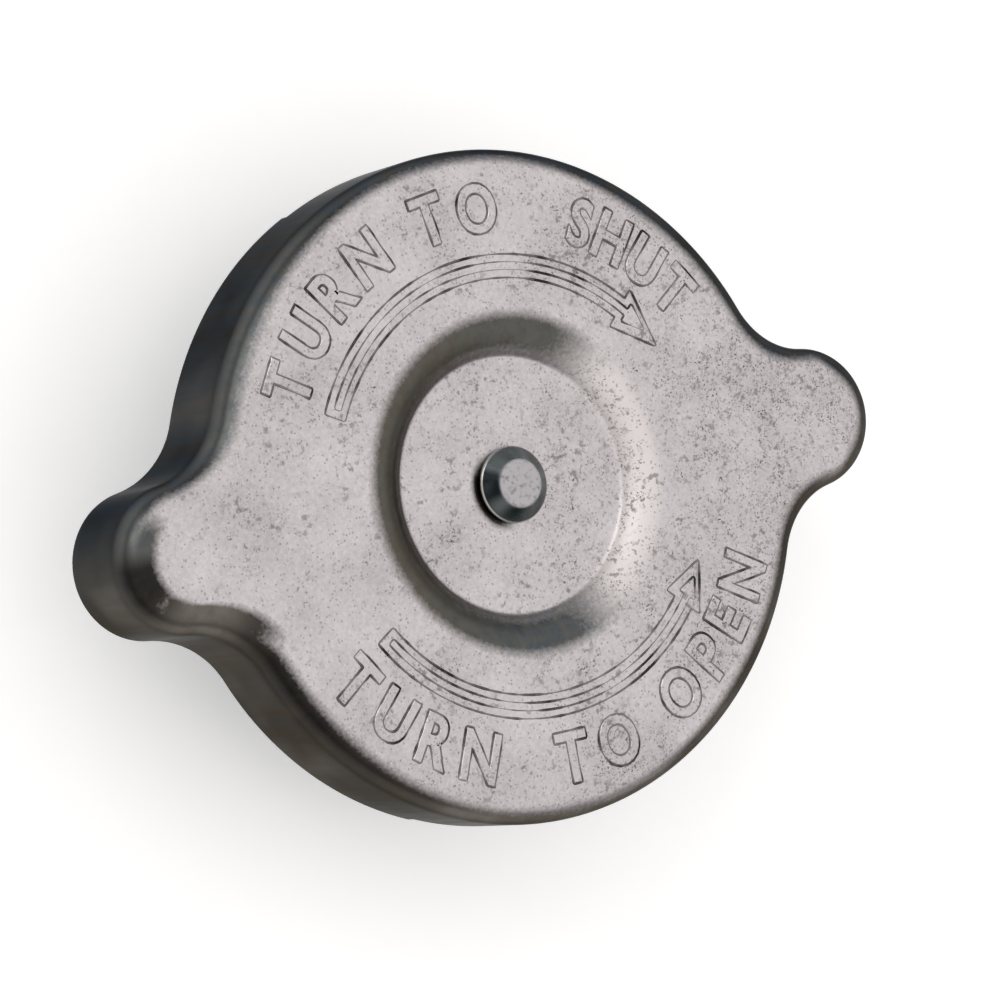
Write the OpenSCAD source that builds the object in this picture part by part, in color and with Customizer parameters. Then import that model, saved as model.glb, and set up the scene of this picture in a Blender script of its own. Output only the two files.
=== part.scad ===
// Radiator pressure cap with finger ears, swivelling valve assembly and vacuum valve.
// Millimetres, +Z up. The Z axis is the cap's axis and +X runs along the ears.
// The origin is the centre of the flat ring of the pressure gasket that the cap stands on.

/* [Cap shell] */
// Outer diameter of the round body
cap_d = 56; // [53:0.5:64]
// Thickness of the shell's sheet
sheet_t = 0.9; // [0.6:0.05:1.2]
// Height from the skirt's lower edge to the top face
skirt_h = 9.6; // [9:0.1:12]
// Outer radius of the bend between top and skirt
edge_r = 2.2; // [1.5:0.1:3]
// How far each ear stands out from the round body
ear_reach = 9.1; // [7:0.1:12]
// Radius of an ear's tip
ear_tip_r = 6.1; // [5:0.1:7]
// Radius of the hollow corner between an ear and the body
ear_neck_r = 7.6; // [5:0.1:12]

/* [Centre recess] */
// Diameter of the recess floor
recess_d = 21.4; // [16:0.2:26]
// Depth of the recess floor below the top face
recess_depth = 2; // [1.2:0.1:3]
// Radius of the soft edge that rolls down into the recess
recess_edge_r = 3.9; // [3.2:0.1:5]

/* [Bayonet lugs] */
// Distance from the skirt's outside to a lug's inner edge
lug_reach = 3.6; // [2.5:0.1:4.5]
// Angle that one lug covers
lug_angle = 50; // [30:1:70]
// Outer radius of the fold from skirt to lug
lug_fold_r = 1.6; // [1.3:0.1:2.2]

/* [Rivet] */
// Diameter of the shank
rivet_d = 4.4; // [3:0.1:5]
// Diameter of the head
rivet_head_d = 6.4; // [5.6:0.1:8]
// Height of the head
rivet_head_h = 1.5; // [1:0.1:2]
// Height of the upright rim at the foot of the head
rivet_rim_h = 0.5; // [0.2:0.05:0.8]
// Diameter of the flat on top of the head
rivet_flat_d = 4.1; // [3:0.1:5]
// Diameter of the closed end
rivet_foot_d = 6.2; // [5.4:0.1:7.4]
// Height of the closed end
rivet_foot_h = 1; // [0.6:0.1:1.4]
// Diameter of the washer
washer_d = 9; // [7.6:0.2:12]
// Thickness of the washer
washer_t = 0.6; // [0.4:0.1:1]

/* [Spring disc and neck gasket] */
// Thickness of the spring disc
disc_t = 0.4; // [0.3:0.05:0.6]
// Free space between the spring disc and the inner edges of the lugs
disc_gap = 0.3; // [0.2:0.05:0.8]
// Drop from the disc's flat centre to its rim
disc_drop = 2.6; // [1.8:0.1:3]
// Height of the lip that holds the neck gasket
disc_lip_h = 0.8; // [0.4:0.1:1.2]
// Width of the neck gasket's ring
neck_gasket_w = 3.8; // [3:0.1:5]
// Thickness of the neck gasket
neck_gasket_t = 1.4; // [1.2:0.1:1.8]

/* [Valve cage] */
// Thickness of the cage's sheet
cage_t = 0.8; // [0.6:0.05:1]
// Number of arms
cage_arms = 3; // [2:1:4]
// Angle that one arm covers
cage_arm_angle = 44; // [25:1:70]

/* [Pressure valve] */
// Outer diameter of the pressure gasket
gasket_d = 40; // [37:0.2:43]
// Thickness of the pressure gasket
gasket_t = 2.6; // [2:0.1:3.4]
// Thickness of the gasket's inner lip
lip_t = 1.3; // [0.9:0.05:1.6]
// Diameter of the hole in the lip
lip_hole_d = 10.4; // [9:0.1:11.6]
// Radius of the gasket's rounded outer edges
gasket_edge_r = 0.5; // [0.2:0.05:0.8]
// Outer diameter of the backing plate
plate_d = 37.2; // [32:0.2:39]
// Thickness of the backing plate
plate_t = 0.8; // [0.5:0.05:1.2]
// Outer diameter of the cup's wall
cup_d = 26.8; // [26:0.1:28]
// Thickness of the cup's sheet
cup_t = 0.8; // [0.6:0.05:1]
// Width of the cup's flange, outside its wall
cup_flange_w = 1.6; // [1.2:0.05:2.2]
// Outer radius of the fold from the cup's floor to its wall
cup_fold_r = 1.2; // [1.05:0.05:1.6]
// How far the pressure valve lifts
lift = 3; // [2:0.1:3.6]
// Room left above the backing plate when the valve is fully lifted
lift_room = 0.8; // [0.4:0.1:1.4]

/* [Pressure spring] */
// Diameter of the wire
spring_wire = 1.6; // [1.2:0.05:1.7]
// Number of turns
spring_turns = 5; // [4:0.5:5.5]
// Length of the spring as fitted
spring_len = 13.6; // [13:0.1:16]

/* [Gasket retainer] */
// Thickness of the ring
retainer_t = 0.7; // [0.5:0.05:1]
// Width of the ring
retainer_w = 5; // [4.2:0.1:5.2]
// Number of clinch studs
stud_count = 3; // [3:1:6]
// Diameter of a stud
stud_d = 1.6; // [1.2:0.1:1.8]
// Diameter of a stud's closed head
stud_head_d = 2.3; // [1.9:0.1:2.4]
// Height of a stud's closed head
stud_head_h = 0.5; // [0.3:0.05:0.8]

/* [Vacuum valve] */
// Diameter of the poppet's disc
poppet_d = 14.8; // [13:0.1:15.2]
// Thickness of the poppet's disc
poppet_t = 0.8; // [0.5:0.05:1]
// Diameter of the dimple under the poppet
dimple_d = 5; // [3:0.1:8]
// Depth of the dimple
dimple_depth = 0.3; // [0.1:0.05:0.4]
// Diameter of the stem
stem_d = 2.8; // [2.2:0.1:3.2]
// Depth of the clip's groove in the stem
groove_depth = 0.35; // [0.2:0.05:0.5]
// Length of the stem above the clip
stem_end = 0.8; // [0.5:0.1:1.5]
// Diameter of the vacuum spring's wire
vacuum_wire = 0.45; // [0.3:0.05:0.55]
// Number of turns of the vacuum spring
vacuum_turns = 4; // [3:0.5:5]
// Length of the vacuum spring as fitted
vacuum_spring_len = 4.8; // [4.4:0.1:5.6]
// Outer diameter of the clip
clip_d = 6.4; // [5.6:0.1:7]
// Thickness of the clip
clip_t = 0.5; // [0.4:0.05:0.8]
// Number of vent holes in the cup's floor
vent_count = 4; // [3:1:6]
// Diameter of a vent hole
vent_d = 1.2; // [0.8:0.1:1.4]

/* [Clearances] */
// Running play of the swivel, along the rivet and round it
swivel_play = 0.05; // [0.02:0.01:0.1]
// Play between the cup and the cage that it slides in
slide_play = 0.3; // [0.2:0.05:0.5]
// Play round the stem in the cup's floor
stem_play = 0.12; // [0.05:0.01:0.2]
// Radial gap round pieces that are laid or clinched together
seat_gap = 0.05; // [0.02:0.01:0.1]
// Radial space between the poppet and the gasket retainer
poppet_gap = 0.4; // [0.2:0.05:0.6]
// Radial space that keeps the springs off their neighbours
spring_gap = 0.4; // [0.25:0.05:0.6]
// Inner radius of the tight folds in the cage and the cup
fold_r = 0.15; // [0.1:0.01:0.18]

/* [Hidden] */
$fn = 96;
// Overlap that lets a cut pass cleanly through a face
cut = 1;
// Lap by which a rounded face runs past the face it blends into, so that the two cross cleanly
lap = 0.04;

// Levels, from the gasket's resting face up to the cap's top face
gasket_top = gasket_t;
lip_under = gasket_top - lip_t;
plate_top = gasket_top + plate_t;
cup_floor = plate_top + cup_t;
tongue_under = plate_top + lift + lift_room;
flange_under = tongue_under + cage_t + swivel_play;
cage_under = cup_floor + spring_len;
cage_top = cage_under + cage_t;
disc_top = cage_top + disc_t;
rim_under = disc_top - disc_drop - disc_t;
recess_under = disc_top + swivel_play;
recess_floor = recess_under + sheet_t;
top_z = recess_floor + recess_depth;
skirt_z = top_z - skirt_h;
washer_top = cage_under - swivel_play;
washer_under = washer_top - washer_t;
poppet_under = lip_under - poppet_t;
clip_under = cup_floor + vacuum_spring_len;

// Plan of the shell: a hollow corner's arc blends into the arcs of the body and of the ear's tip
cap_r = cap_d / 2;
ear_tip_x = cap_r + ear_reach - ear_tip_r;
body_to_corner = cap_r + ear_neck_r - lap;
tip_to_corner = ear_tip_r + ear_neck_r - lap;
corner_x = (ear_tip_x ^ 2 + body_to_corner ^ 2 - tip_to_corner ^ 2) / (2 * ear_tip_x);
corner_y = sqrt(body_to_corner ^ 2 - corner_x ^ 2);

// Top of the strip of skirt that is made in one with a lug
lug_root_z = skirt_z + 2 * lug_fold_r;

// Section of the recess: an arc rolls from the top face down to the edge of the floor
recess_r = recess_d / 2;
recess_arc_z = top_z + lap - recess_edge_r;
recess_arc_r = recess_r + sqrt(recess_edge_r ^ 2 - (recess_floor - recess_arc_z) ^ 2);

// Radii of the inner pieces
rivet_r = rivet_d / 2;
swivel_hole_r = rivet_r + swivel_play;
cup_r = cup_d / 2;
flange_r = cup_r + cup_flange_w;
cage_r = flange_r + slide_play + cage_t;
cage_fold_r = cage_t + fold_r;
tongue_r = cup_r + slide_play;
lug_in_r = cap_r - lug_reach;
disc_r = lug_in_r - disc_gap;
neck_gasket_r = disc_r - disc_t - seat_gap;
neck_gasket_in_r = neck_gasket_r - neck_gasket_w;
spring_r = cup_r - cup_t - spring_gap - spring_wire / 2;
poppet_r = poppet_d / 2;
retainer_in_r = poppet_r + poppet_gap;
retainer_r = retainer_in_r + retainer_w;
stud_r = retainer_in_r + stud_head_d / 2;
stem_r = stem_d / 2;
stem_hole_r = stem_r + stem_play;
vacuum_spring_r = stem_r + spring_gap + vacuum_wire / 2;
lip_hole_r = lip_hole_d / 2;
vent_r = lip_hole_r - vent_d / 2;

// A quarter of a disc, in the first quadrant
module quarter_disc(r) {
    intersection() {
        circle(r);
        square(r);
    }
}

// A quarter of a ring, in the first quadrant: the section of a folded sheet
module quarter_ring(r, t) {
    difference() {
        quarter_disc(r);
        circle(r - t);
    }
}

// Copies of the children, evenly spaced round the axis
module ring_of(count) {
    for (k = [0 : count - 1])
        rotate(k * 360 / count) children();
}

// Half section of a flat-topped form whose upper outer edge is rounded
module rim_section(reach, top, bottom, bend) {
    translate([0, bottom]) square([reach - bend, top - bottom]);
    translate([reach - bend, bottom]) square([bend, top - bend - bottom]);
    translate([reach - bend, top - bend]) quarter_disc(bend);
}

// Half section of what is cleared away outside a hollow corner with the same rounded edge
module corner_section(corner_r, top, bottom, bend) {
    difference() {
        translate([0, bottom]) square([corner_r + bend, top - bottom]);
        translate([corner_r + bend, top - bend]) circle(bend);
        translate([corner_r, bottom - cut]) square([bend + cut, top - bend - bottom + cut]);
    }
}

// One ear: a round tip, and the web to the body with its two hollow corners
module ear_form(inset, top, bottom, bend) {
    corners = [[corner_x, corner_y], [corner_x, -corner_y]];
    translate([ear_tip_x, 0]) rotate_extrude() rim_section(ear_tip_r - inset, top, bottom, bend);
    difference() {
        translate([0, 0, bottom]) linear_extrude(top - bottom)
            polygon([[0, 0], corners[0], [ear_tip_x, 0], corners[1]]);
        for (corner = corners) translate(corner)
            rotate_extrude() corner_section(ear_neck_r + inset, top + lap, bottom - cut, bend);
    }
}

// The solid form of the cap, moved in from its outer faces by inset
module cap_form(inset, bottom) {
    top = top_z - inset;
    bend = edge_r - inset;
    rotate_extrude() rim_section(cap_r - inset, top, bottom, bend);
    ring_of(2) ear_form(inset, top, bottom, bend);
}

// What lies above the recess, or above a face that runs inset below it
module recess_form(inset) {
    floor_z = recess_floor - inset;
    rotate_extrude() difference() {
        translate([0, floor_z]) square([recess_arc_r, top_z + cut - floor_z]);
        translate([recess_arc_r, recess_arc_z]) circle(recess_edge_r - inset);
    }
}

// Half section of a bayonet lug, the fold above it and the strip of skirt that it hangs from
module lug_section() {
    fold_z = skirt_z + lug_fold_r;
    translate([cap_r - sheet_t, fold_z]) square([sheet_t, lug_root_z - fold_z]);
    translate([cap_r - lug_fold_r, fold_z]) mirror([0, 1]) quarter_ring(lug_fold_r, sheet_t);
    translate([lug_in_r, skirt_z]) square([lug_reach - lug_fold_r, sheet_t]);
}

// The two opposite sectors that the lugs take up, from below the skirt to some level
module lug_sectors(top, inset) {
    side_x = cap_d * tan(lug_angle / 2) - inset;
    ring_of(2) translate([0, 0, skirt_z - cut]) linear_extrude(top - skirt_z + cut)
        polygon([[0, 0], [side_x, cap_d], [-side_x, cap_d]]);
}

// The stamped shell
module cap_shell() {
    color("gainsboro") {
        difference() {
            cap_form(0, skirt_z);
            difference() {
                cap_form(sheet_t, skirt_z - cut);
                recess_form(sheet_t);
            }
            recess_form(0);
            translate([0, 0, recess_under - cut]) cylinder(r = rivet_r + seat_gap, h = sheet_t + 2 * cut);
            lug_sectors(lug_root_z - lap, lap);
        }
        intersection() {
            rotate_extrude() lug_section();
            lug_sectors(top_z, 0);
        }
    }
}

// Rivet with a flat-topped head above the recess floor and a closed end below the washer
module center_rivet() {
    head_r = rivet_head_d / 2;
    foot_r = rivet_foot_d / 2;
    foot_under = washer_under - rivet_foot_h;
    color("silver") rotate_extrude() polygon([
        [0, foot_under],
        [rivet_r, foot_under],
        [foot_r, foot_under + rivet_foot_h / 2],
        [foot_r, washer_under],
        [rivet_r, washer_under],
        [rivet_r, recess_floor],
        [head_r, recess_floor],
        [head_r, recess_floor + rivet_rim_h],
        [rivet_flat_d / 2, recess_floor + rivet_head_h],
        [0, recess_floor + rivet_head_h]
    ]);
}

// Washer that the cage turns on
module rivet_washer() {
    color("lightsteelblue") translate([0, 0, washer_under]) difference() {
        cylinder(d = washer_d, h = washer_t);
        translate([0, 0, -cut]) cylinder(r = rivet_r + seat_gap, h = washer_t + 2 * cut);
    }
}

// Dished spring disc: flat centre, sloping shoulder, level rim and a small lip
module spring_disc() {
    rim_top = rim_under + disc_t;
    rim_in_r = neck_gasket_in_r - seat_gap;
    color("darkgray") rotate_extrude() polygon([
        [swivel_hole_r, disc_top],
        [cage_r, disc_top],
        [rim_in_r, rim_top],
        [disc_r, rim_top],
        [disc_r, rim_under - disc_lip_h],
        [disc_r - disc_t, rim_under - disc_lip_h],
        [disc_r - disc_t, rim_under],
        [rim_in_r - disc_t, rim_under],
        [cage_r - disc_t, cage_top],
        [swivel_hole_r, cage_top]
    ]);
}

// Flat rubber ring that seals on the rim of the filler neck
module neck_gasket() {
    color("dimgray") translate([0, 0, rim_under - neck_gasket_t]) difference() {
        cylinder(r = neck_gasket_r, h = neck_gasket_t);
        translate([0, 0, -cut]) cylinder(r = neck_gasket_in_r, h = neck_gasket_t + 2 * cut);
    }
}

// Half section of the cage's bell: flat top, fold, upright, fold and the tongue under the cup's flange
module cage_section() {
    fold_x = cage_r - cage_fold_r;
    translate([swivel_hole_r, cage_under]) square([fold_x - swivel_hole_r, cage_t]);
    translate([fold_x, cage_top - cage_fold_r]) quarter_ring(cage_fold_r, cage_t);
    translate([cage_r - cage_t, tongue_under + cage_fold_r])
        square([cage_t, cage_top - tongue_under - 2 * cage_fold_r]);
    translate([fold_x, tongue_under + cage_fold_r]) mirror([0, 1]) quarter_ring(cage_fold_r, cage_t);
    translate([tongue_r, tongue_under]) square([fold_x - tongue_r, cage_t]);
}

// What is cut from the bell between two arms, which leaves its flat top
module cage_window() {
    half_angle = 180 / cage_arms - cage_arm_angle / 2;
    far = 4 * cage_r;
    difference() {
        translate([0, 0, tongue_under - cut]) linear_extrude(cage_top - tongue_under + 2 * cut)
            polygon([[0, 0], for (a = [-half_angle, 0, half_angle]) far * [cos(a), sin(a)]]);
        translate([0, 0, cage_under - cut]) cylinder(r = cage_r - cage_fold_r - lap, h = cage_t + 3 * cut);
    }
}

// Bell with open sides that hangs from the rivet
module valve_cage() {
    color("lightgray") difference() {
        rotate_extrude() cage_section();
        ring_of(cage_arms) rotate(180 / cage_arms) cage_window();
    }
}

// Height of a coil's wire centre after some turns: its end turns lie close, the rest is even
function coil_z(turn, turns, wire, len) =
    let (close = 0.75,
         close_rise = 1.15 * wire * close,
         open_rise = len - wire - 2 * close_rise,
         open = turns - 2 * close)
    turn < close ? wire / 2 + turn / close * close_rise
    : turn > turns - close ? len - wire / 2 - (turns - turn) / close * close_rise
    : wire / 2 + close_rise + (turn - close) / open * open_rise;

// Round wire swept along a helix with close end turns
module coil(r, wire, turns, len, sides, steps) {
    rings = turns * steps;
    points = [
        for (k = [0 : rings])
            let (a = 360 * k / steps, z = coil_z(k / steps, turns, wire, len))
            for (s = [0 : sides - 1])
                let (b = 360 * s / sides, rho = r + wire / 2 * sin(b))
                [rho * cos(a), rho * sin(a), z - wire / 2 * cos(b)]
    ];
    walls = [
        for (k = [0 : rings - 1], s = [0 : sides - 1])
            let (next = (s + 1) % sides, low = k * sides, high = low + sides)
            [low + s, high + s, high + next, low + next]
    ];
    first = [for (s = [0 : sides - 1]) s];
    last = [for (s = [sides - 1 : -1 : 0]) rings * sides + s];
    polyhedron(points, concat([first, last], walls));
}

// Main spring, between the cage and the floor of the cup
module pressure_spring() {
    color("slategray") translate([0, 0, cup_floor]) coil(spring_r, spring_wire, spring_turns, spring_len, 12, 28);
}

// Half section of the cup: floor, fold, wall, fold and flange
module cup_section() {
    wall_top = flange_under - fold_r;
    translate([0, plate_top]) square([cup_r - cup_fold_r, cup_t]);
    translate([cup_r - cup_fold_r, plate_top + cup_fold_r]) mirror([0, 1]) quarter_ring(cup_fold_r, cup_t);
    translate([cup_r - cup_t, plate_top + cup_fold_r]) square([cup_t, wall_top - plate_top - cup_fold_r]);
    translate([cup_r + fold_r, wall_top]) mirror([1, 0]) quarter_ring(cup_t + fold_r, cup_t);
    translate([cup_r + fold_r, flange_under]) square([cup_flange_w - fold_r, cup_t]);
}

// Cup of the pressure valve, with its stem hole, vents and stud holes
module valve_cup() {
    color("silver") difference() {
        rotate_extrude() cup_section();
        translate([0, 0, plate_top - cut]) {
            cylinder(r = stem_hole_r, h = cup_t + 2 * cut);
            ring_of(vent_count) translate([vent_r, 0]) cylinder(d = vent_d, h = cup_t + 2 * cut);
            stud_holes(cup_t + 2 * cut);
        }
    }
}

// Clearance holes for the retainer's studs
module stud_holes(h) {
    ring_of(stud_count) translate([stud_r, 0]) cylinder(r = stud_d / 2 + seat_gap, h = h);
}

// Flat ring that backs the pressure gasket
module backing_plate() {
    color("lightgray") translate([0, 0, gasket_top]) difference() {
        cylinder(d = plate_d, h = plate_t);
        translate([0, 0, -cut]) cylinder(r = lip_hole_r, h = plate_t + 2 * cut);
        translate([0, 0, -cut]) stud_holes(plate_t + 2 * cut);
    }
}

// Half section of the pressure gasket: thick outer ring with rounded edges, thin inner lip
module gasket_section() {
    gasket_r = gasket_d / 2;
    step_r = retainer_r + seat_gap;
    edge_x = gasket_r - gasket_edge_r;
    translate([lip_hole_r, lip_under]) square([step_r - lip_hole_r, lip_t]);
    translate([step_r, 0]) square([edge_x - step_r, gasket_t]);
    translate([edge_x, gasket_edge_r]) square([gasket_edge_r, gasket_t - 2 * gasket_edge_r]);
    translate([edge_x, gasket_t - gasket_edge_r]) quarter_disc(gasket_edge_r);
    translate([edge_x, gasket_edge_r]) mirror([0, 1]) quarter_disc(gasket_edge_r);
}

// Main rubber seal, on the lower seat of the filler neck
module pressure_gasket() {
    color("darkslategray") difference() {
        rotate_extrude() gasket_section();
        translate([0, 0, lip_under - cut]) stud_holes(lip_t + 2 * cut);
    }
}

// Ring whose studs are clinched over the floor of the cup
module gasket_retainer() {
    color("lightsteelblue") {
        translate([0, 0, lip_under - retainer_t]) difference() {
            cylinder(r = retainer_r, h = retainer_t);
            translate([0, 0, -cut]) cylinder(r = retainer_in_r, h = retainer_t + 2 * cut);
        }
        ring_of(stud_count) translate([stud_r, 0]) {
            translate([0, 0, lip_under]) cylinder(d = stud_d, h = cup_floor - lip_under);
            translate([0, 0, cup_floor]) cylinder(d = stud_head_d, h = stud_head_h);
        }
    }
}

// Poppet of the vacuum valve, with its stem up through the cup's floor
module vacuum_valve() {
    neck_r = stem_r - groove_depth;
    stem_top = clip_under + clip_t + stem_end;
    color("goldenrod") rotate_extrude() polygon([
        [0, poppet_under + dimple_depth],
        [dimple_d / 2 - dimple_depth, poppet_under + dimple_depth],
        [dimple_d / 2, poppet_under],
        [poppet_r, poppet_under],
        [poppet_r, lip_under],
        [stem_r, lip_under],
        [stem_r, clip_under],
        [neck_r, clip_under],
        [neck_r, clip_under + clip_t],
        [stem_r, clip_under + clip_t],
        [stem_r, stem_top - groove_depth],
        [neck_r, stem_top],
        [0, stem_top]
    ]);
}

// Small spring that holds the poppet against the gasket's lip
module vacuum_spring() {
    color("slategray") translate([0, 0, cup_floor])
        coil(vacuum_spring_r, vacuum_wire, vacuum_turns, vacuum_spring_len, 8, 18);
}

// Open clip that sits in the stem's groove and carries the small spring
module vacuum_clip() {
    hole_r = stem_r - groove_depth + seat_gap;
    color("gray") translate([0, 0, clip_under]) difference() {
        cylinder(d = clip_d, h = clip_t);
        translate([0, 0, -cut]) cylinder(r = hole_r, h = clip_t + 2 * cut);
        translate([0, -hole_r, -cut]) cube([clip_d, 2 * hole_r, clip_t + 2 * cut]);
    }
}

cap_shell();
center_rivet();
rivet_washer();
spring_disc();
neck_gasket();
valve_cage();
pressure_spring();
valve_cup();
backing_plate();
pressure_gasket();
gasket_retainer();
vacuum_valve();
vacuum_spring();
vacuum_clip();
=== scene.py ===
"""Looks and studio scene of a pressed-steel radiator pressure cap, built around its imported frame."""

from __future__ import annotations

import logging
import math
from collections.abc import Callable
from dataclasses import dataclass
from enum import Enum
from functools import partial

import bmesh
import bpy
from mathutils import Matrix, Vector
from mathutils.geometry import tessellate_polygon

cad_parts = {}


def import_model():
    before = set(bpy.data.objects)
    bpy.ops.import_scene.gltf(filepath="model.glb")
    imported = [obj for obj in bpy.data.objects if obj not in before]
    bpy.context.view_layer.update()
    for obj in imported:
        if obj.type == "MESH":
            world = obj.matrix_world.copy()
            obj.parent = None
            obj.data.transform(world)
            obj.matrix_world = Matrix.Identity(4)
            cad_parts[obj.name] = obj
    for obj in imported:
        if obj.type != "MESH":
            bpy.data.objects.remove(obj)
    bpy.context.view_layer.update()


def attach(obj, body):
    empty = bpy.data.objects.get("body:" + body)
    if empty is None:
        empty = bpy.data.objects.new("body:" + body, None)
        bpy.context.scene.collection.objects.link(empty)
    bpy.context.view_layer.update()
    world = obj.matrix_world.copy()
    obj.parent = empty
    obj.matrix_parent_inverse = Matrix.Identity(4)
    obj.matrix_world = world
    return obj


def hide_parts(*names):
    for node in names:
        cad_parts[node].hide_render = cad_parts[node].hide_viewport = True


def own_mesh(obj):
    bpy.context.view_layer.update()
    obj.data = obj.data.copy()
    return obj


LOG = logging.getLogger("radiator_cap")
# Metres in a millimetre: sizes below are in millimetres, and meshes are in metres
MM = 0.001
# Points closer together than this become one
MERGE = 0.0004 * MM
# What each point of the shell tells the tin plate: how far it is burnished and darkened with painted shade,
# how far its skirt escapes the darkest painted shade, how warm its tint is, how far it takes the dish's
# lighter tone, which also carries the far left bend's painted light, and how far it kept its satin skin with
# painted light
SHELL_VALUES = ("drawn", "skirt", "warm", "dish", "satin")
# Output and type of a Mix node that blends two colours
BLEND = {"out": 2, "data_type": "RGBA"}

Point = tuple[float, float]
Loop = list[Point]
Shapes = list[tuple[list[Loop], list[Loop]]]
Colour = tuple[float, float, float, float]
Values = dict[str, list[float]]
Piece = bpy.types.Object
Material = bpy.types.Material
Tree = bpy.types.NodeTree
Socket = bpy.types.NodeSocket
Adder = Callable[..., Socket]
Inputs = dict | tuple


class Body(Enum):
    """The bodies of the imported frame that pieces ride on."""

    SHELL = "shell"
    CARRIER = "carrier"
    PRESSURE_VALVE = "pressure_valve"
    VACUUM_POPPET = "vacuum_poppet"


class Slot(Enum):
    """The record's material slots."""

    TINPLATE = "tinplate"
    RIVET_STEEL = "rivet_steel"
    PLATED_STEEL = "plated_steel"
    SPRING_STEEL = "spring_steel"
    SEAL_RUBBER = "seal_rubber"
    VALVE_BRASS = "valve_brass"


class Turn(Enum):
    """Which way a word runs round the cap, seen from above."""

    CLOCKWISE = -1
    COUNTER_CLOCKWISE = 1


# Nodes


def to_linear(hex_colour: str) -> Colour:
    """Turns an sRGB hex colour into linear values.

    Args:
        hex_colour: colour such as "#c8c0bd".

    Returns:
        Red, green, blue and alpha, linear.
    """
    channels = [int(hex_colour[k : k + 2], 16) / 255 for k in (1, 3, 5)]
    linear = [c / 12.92 if c <= 0.04045 else ((c + 0.055) / 1.055) ** 2.4 for c in channels]
    return (linear[0], linear[1], linear[2], 1.0)


def feed(node: bpy.types.Node, inputs: Inputs) -> None:
    """Sets or links a node's inputs.

    Args:
        node: the node.
        inputs: what its sockets get, in their order or by name or index. Each gets a value, a hex
            colour or the socket that feeds it.
    """
    for key, value in inputs.items() if isinstance(inputs, dict) else enumerate(inputs):
        if isinstance(value, Socket):
            node.id_data.links.new(value, node.inputs[key])
        else:
            node.inputs[key].default_value = to_linear(value) if isinstance(value, str) else value


def add_node(tree: Tree, kind: str, inputs: Inputs = (), out: str | int = 0, **settings: object) -> Socket:
    """Adds one node with its settings and links.

    Args:
        tree: node tree that gets the node.
        kind: Blender's name of the node type, with ShaderNode left off its front.
        inputs: what feed takes.
        out: name or index of the output that is wanted.
        settings: properties of the node.

    Returns:
        That output.
    """
    node = tree.nodes.new(kind if kind.startswith("Geometry") else "ShaderNode" + kind)
    for name, value in settings.items():
        setattr(node, name, value)
    feed(node, inputs)
    return node.outputs[out]


def new_material(name: str) -> tuple[Material, Adder, Socket]:
    """Starts a material.

    Args:
        name: the material's name.

    Returns:
        The material, the function that adds its nodes, and the place on the piece in millimetres.
    """
    material = bpy.data.materials.new(name)
    material.use_nodes = True
    add = partial(add_node, material.node_tree)
    place = add("TexCoord", out="Object")
    return material, add, add("VectorMath", {0: place, "Scale": 1 / MM}, operation="SCALE")


def close_material(material: Material, inputs: dict) -> Material:
    """Feeds a material's Principled shader and hands the material back."""
    feed(material.node_tree.nodes["Principled BSDF"], inputs)
    return material


def new_tree(name: str, inputs: dict[str, str]) -> tuple[Tree, Adder, bpy.types.NodeOutputs]:
    """Starts a geometry node tree.

    Args:
        name: the tree's name.
        inputs: names and socket types of its inputs.

    Returns:
        The tree, the function that adds its nodes, and its inputs as sockets.
    """
    tree = bpy.data.node_groups.new(name, "GeometryNodeTree")
    for key, kind in inputs.items():
        tree.interface.new_socket(name=key, in_out="INPUT", socket_type="NodeSocket" + kind)
    tree.interface.new_socket(name="Geometry", in_out="OUTPUT", socket_type="NodeSocketGeometry")
    return tree, partial(add_node, tree), tree.nodes.new("NodeGroupInput").outputs


def close_tree(tree: Tree, mesh: Socket, material: Socket) -> Tree:
    """Ends a tree in smooth shading, Realize Instances and Set Material.

    Args:
        tree: the node tree.
        mesh: the finished geometry.
        material: the material.

    Returns:
        The same tree.
    """
    shaded = add_node(tree, "GeometryNodeSetShadeSmooth", {"Geometry": mesh})
    real = add_node(tree, "GeometryNodeRealizeInstances", {"Geometry": shaded})
    dressed = add_node(tree, "GeometryNodeSetMaterial", {"Geometry": real, "Material": material})
    tree.links.new(dressed, tree.nodes.new("NodeGroupOutput").inputs[0])
    return tree


# Outlines


def ramp(value: float, low: float, high: float) -> float:
    """Eases from 0 at low to 1 at high."""
    share = min(1.0, max(0.0, (value - low) / (high - low)))
    return share * share * (3 - 2 * share)


def polar(radius: float, angle: float) -> Point:
    """Point at a radius and an angle in radians."""
    return radius * math.cos(angle), radius * math.sin(angle)


def signed_area(loop: Loop) -> float:
    """Area inside a loop, positive where it runs counter-clockwise."""
    return sum(a[0] * b[1] - b[0] * a[1] for a, b in zip(loop, loop[1:] + loop[:1])) / 2


def is_inside(point: Point, loop: Loop) -> bool:
    """Tells whether a point lies inside a loop.

    Args:
        point: the point.
        loop: the closed loop.

    Returns:
        True where the point is inside.
    """
    inside = False
    for (ax, ay), (bx, by) in zip(loop, loop[1:] + loop[:1]):
        if (ay > point[1]) != (by > point[1]) and point[0] < ax + (point[1] - ay) / (by - ay) * (bx - ax):
            inside = not inside
    return inside


def inset(loop: Loop, distance: float, sharpest: float = 0.35) -> Loop:
    """Moves a loop to its left, into the solid that it bounds.

    Args:
        loop: closed loop with the solid on its left.
        distance: how far it moves.
        sharpest: cosine of half the turn at which a corner's mitre stops growing.

    Returns:
        The moved loop, with as many points.
    """
    moved: Loop = []
    for k, spot in enumerate(loop):
        here = Vector(spot)
        coming = (here - Vector(loop[k - 1])).normalized()
        going = (Vector(loop[(k + 1) % len(loop)]) - here).normalized()
        left = Vector((-going.y, going.x))
        mean = left + Vector((-coming.y, coming.x))
        mean = mean.normalized() if mean.length > 1e-6 else left
        moved.append(tuple(here + mean * distance / max(sharpest, mean.dot(left))))
    return moved


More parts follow.
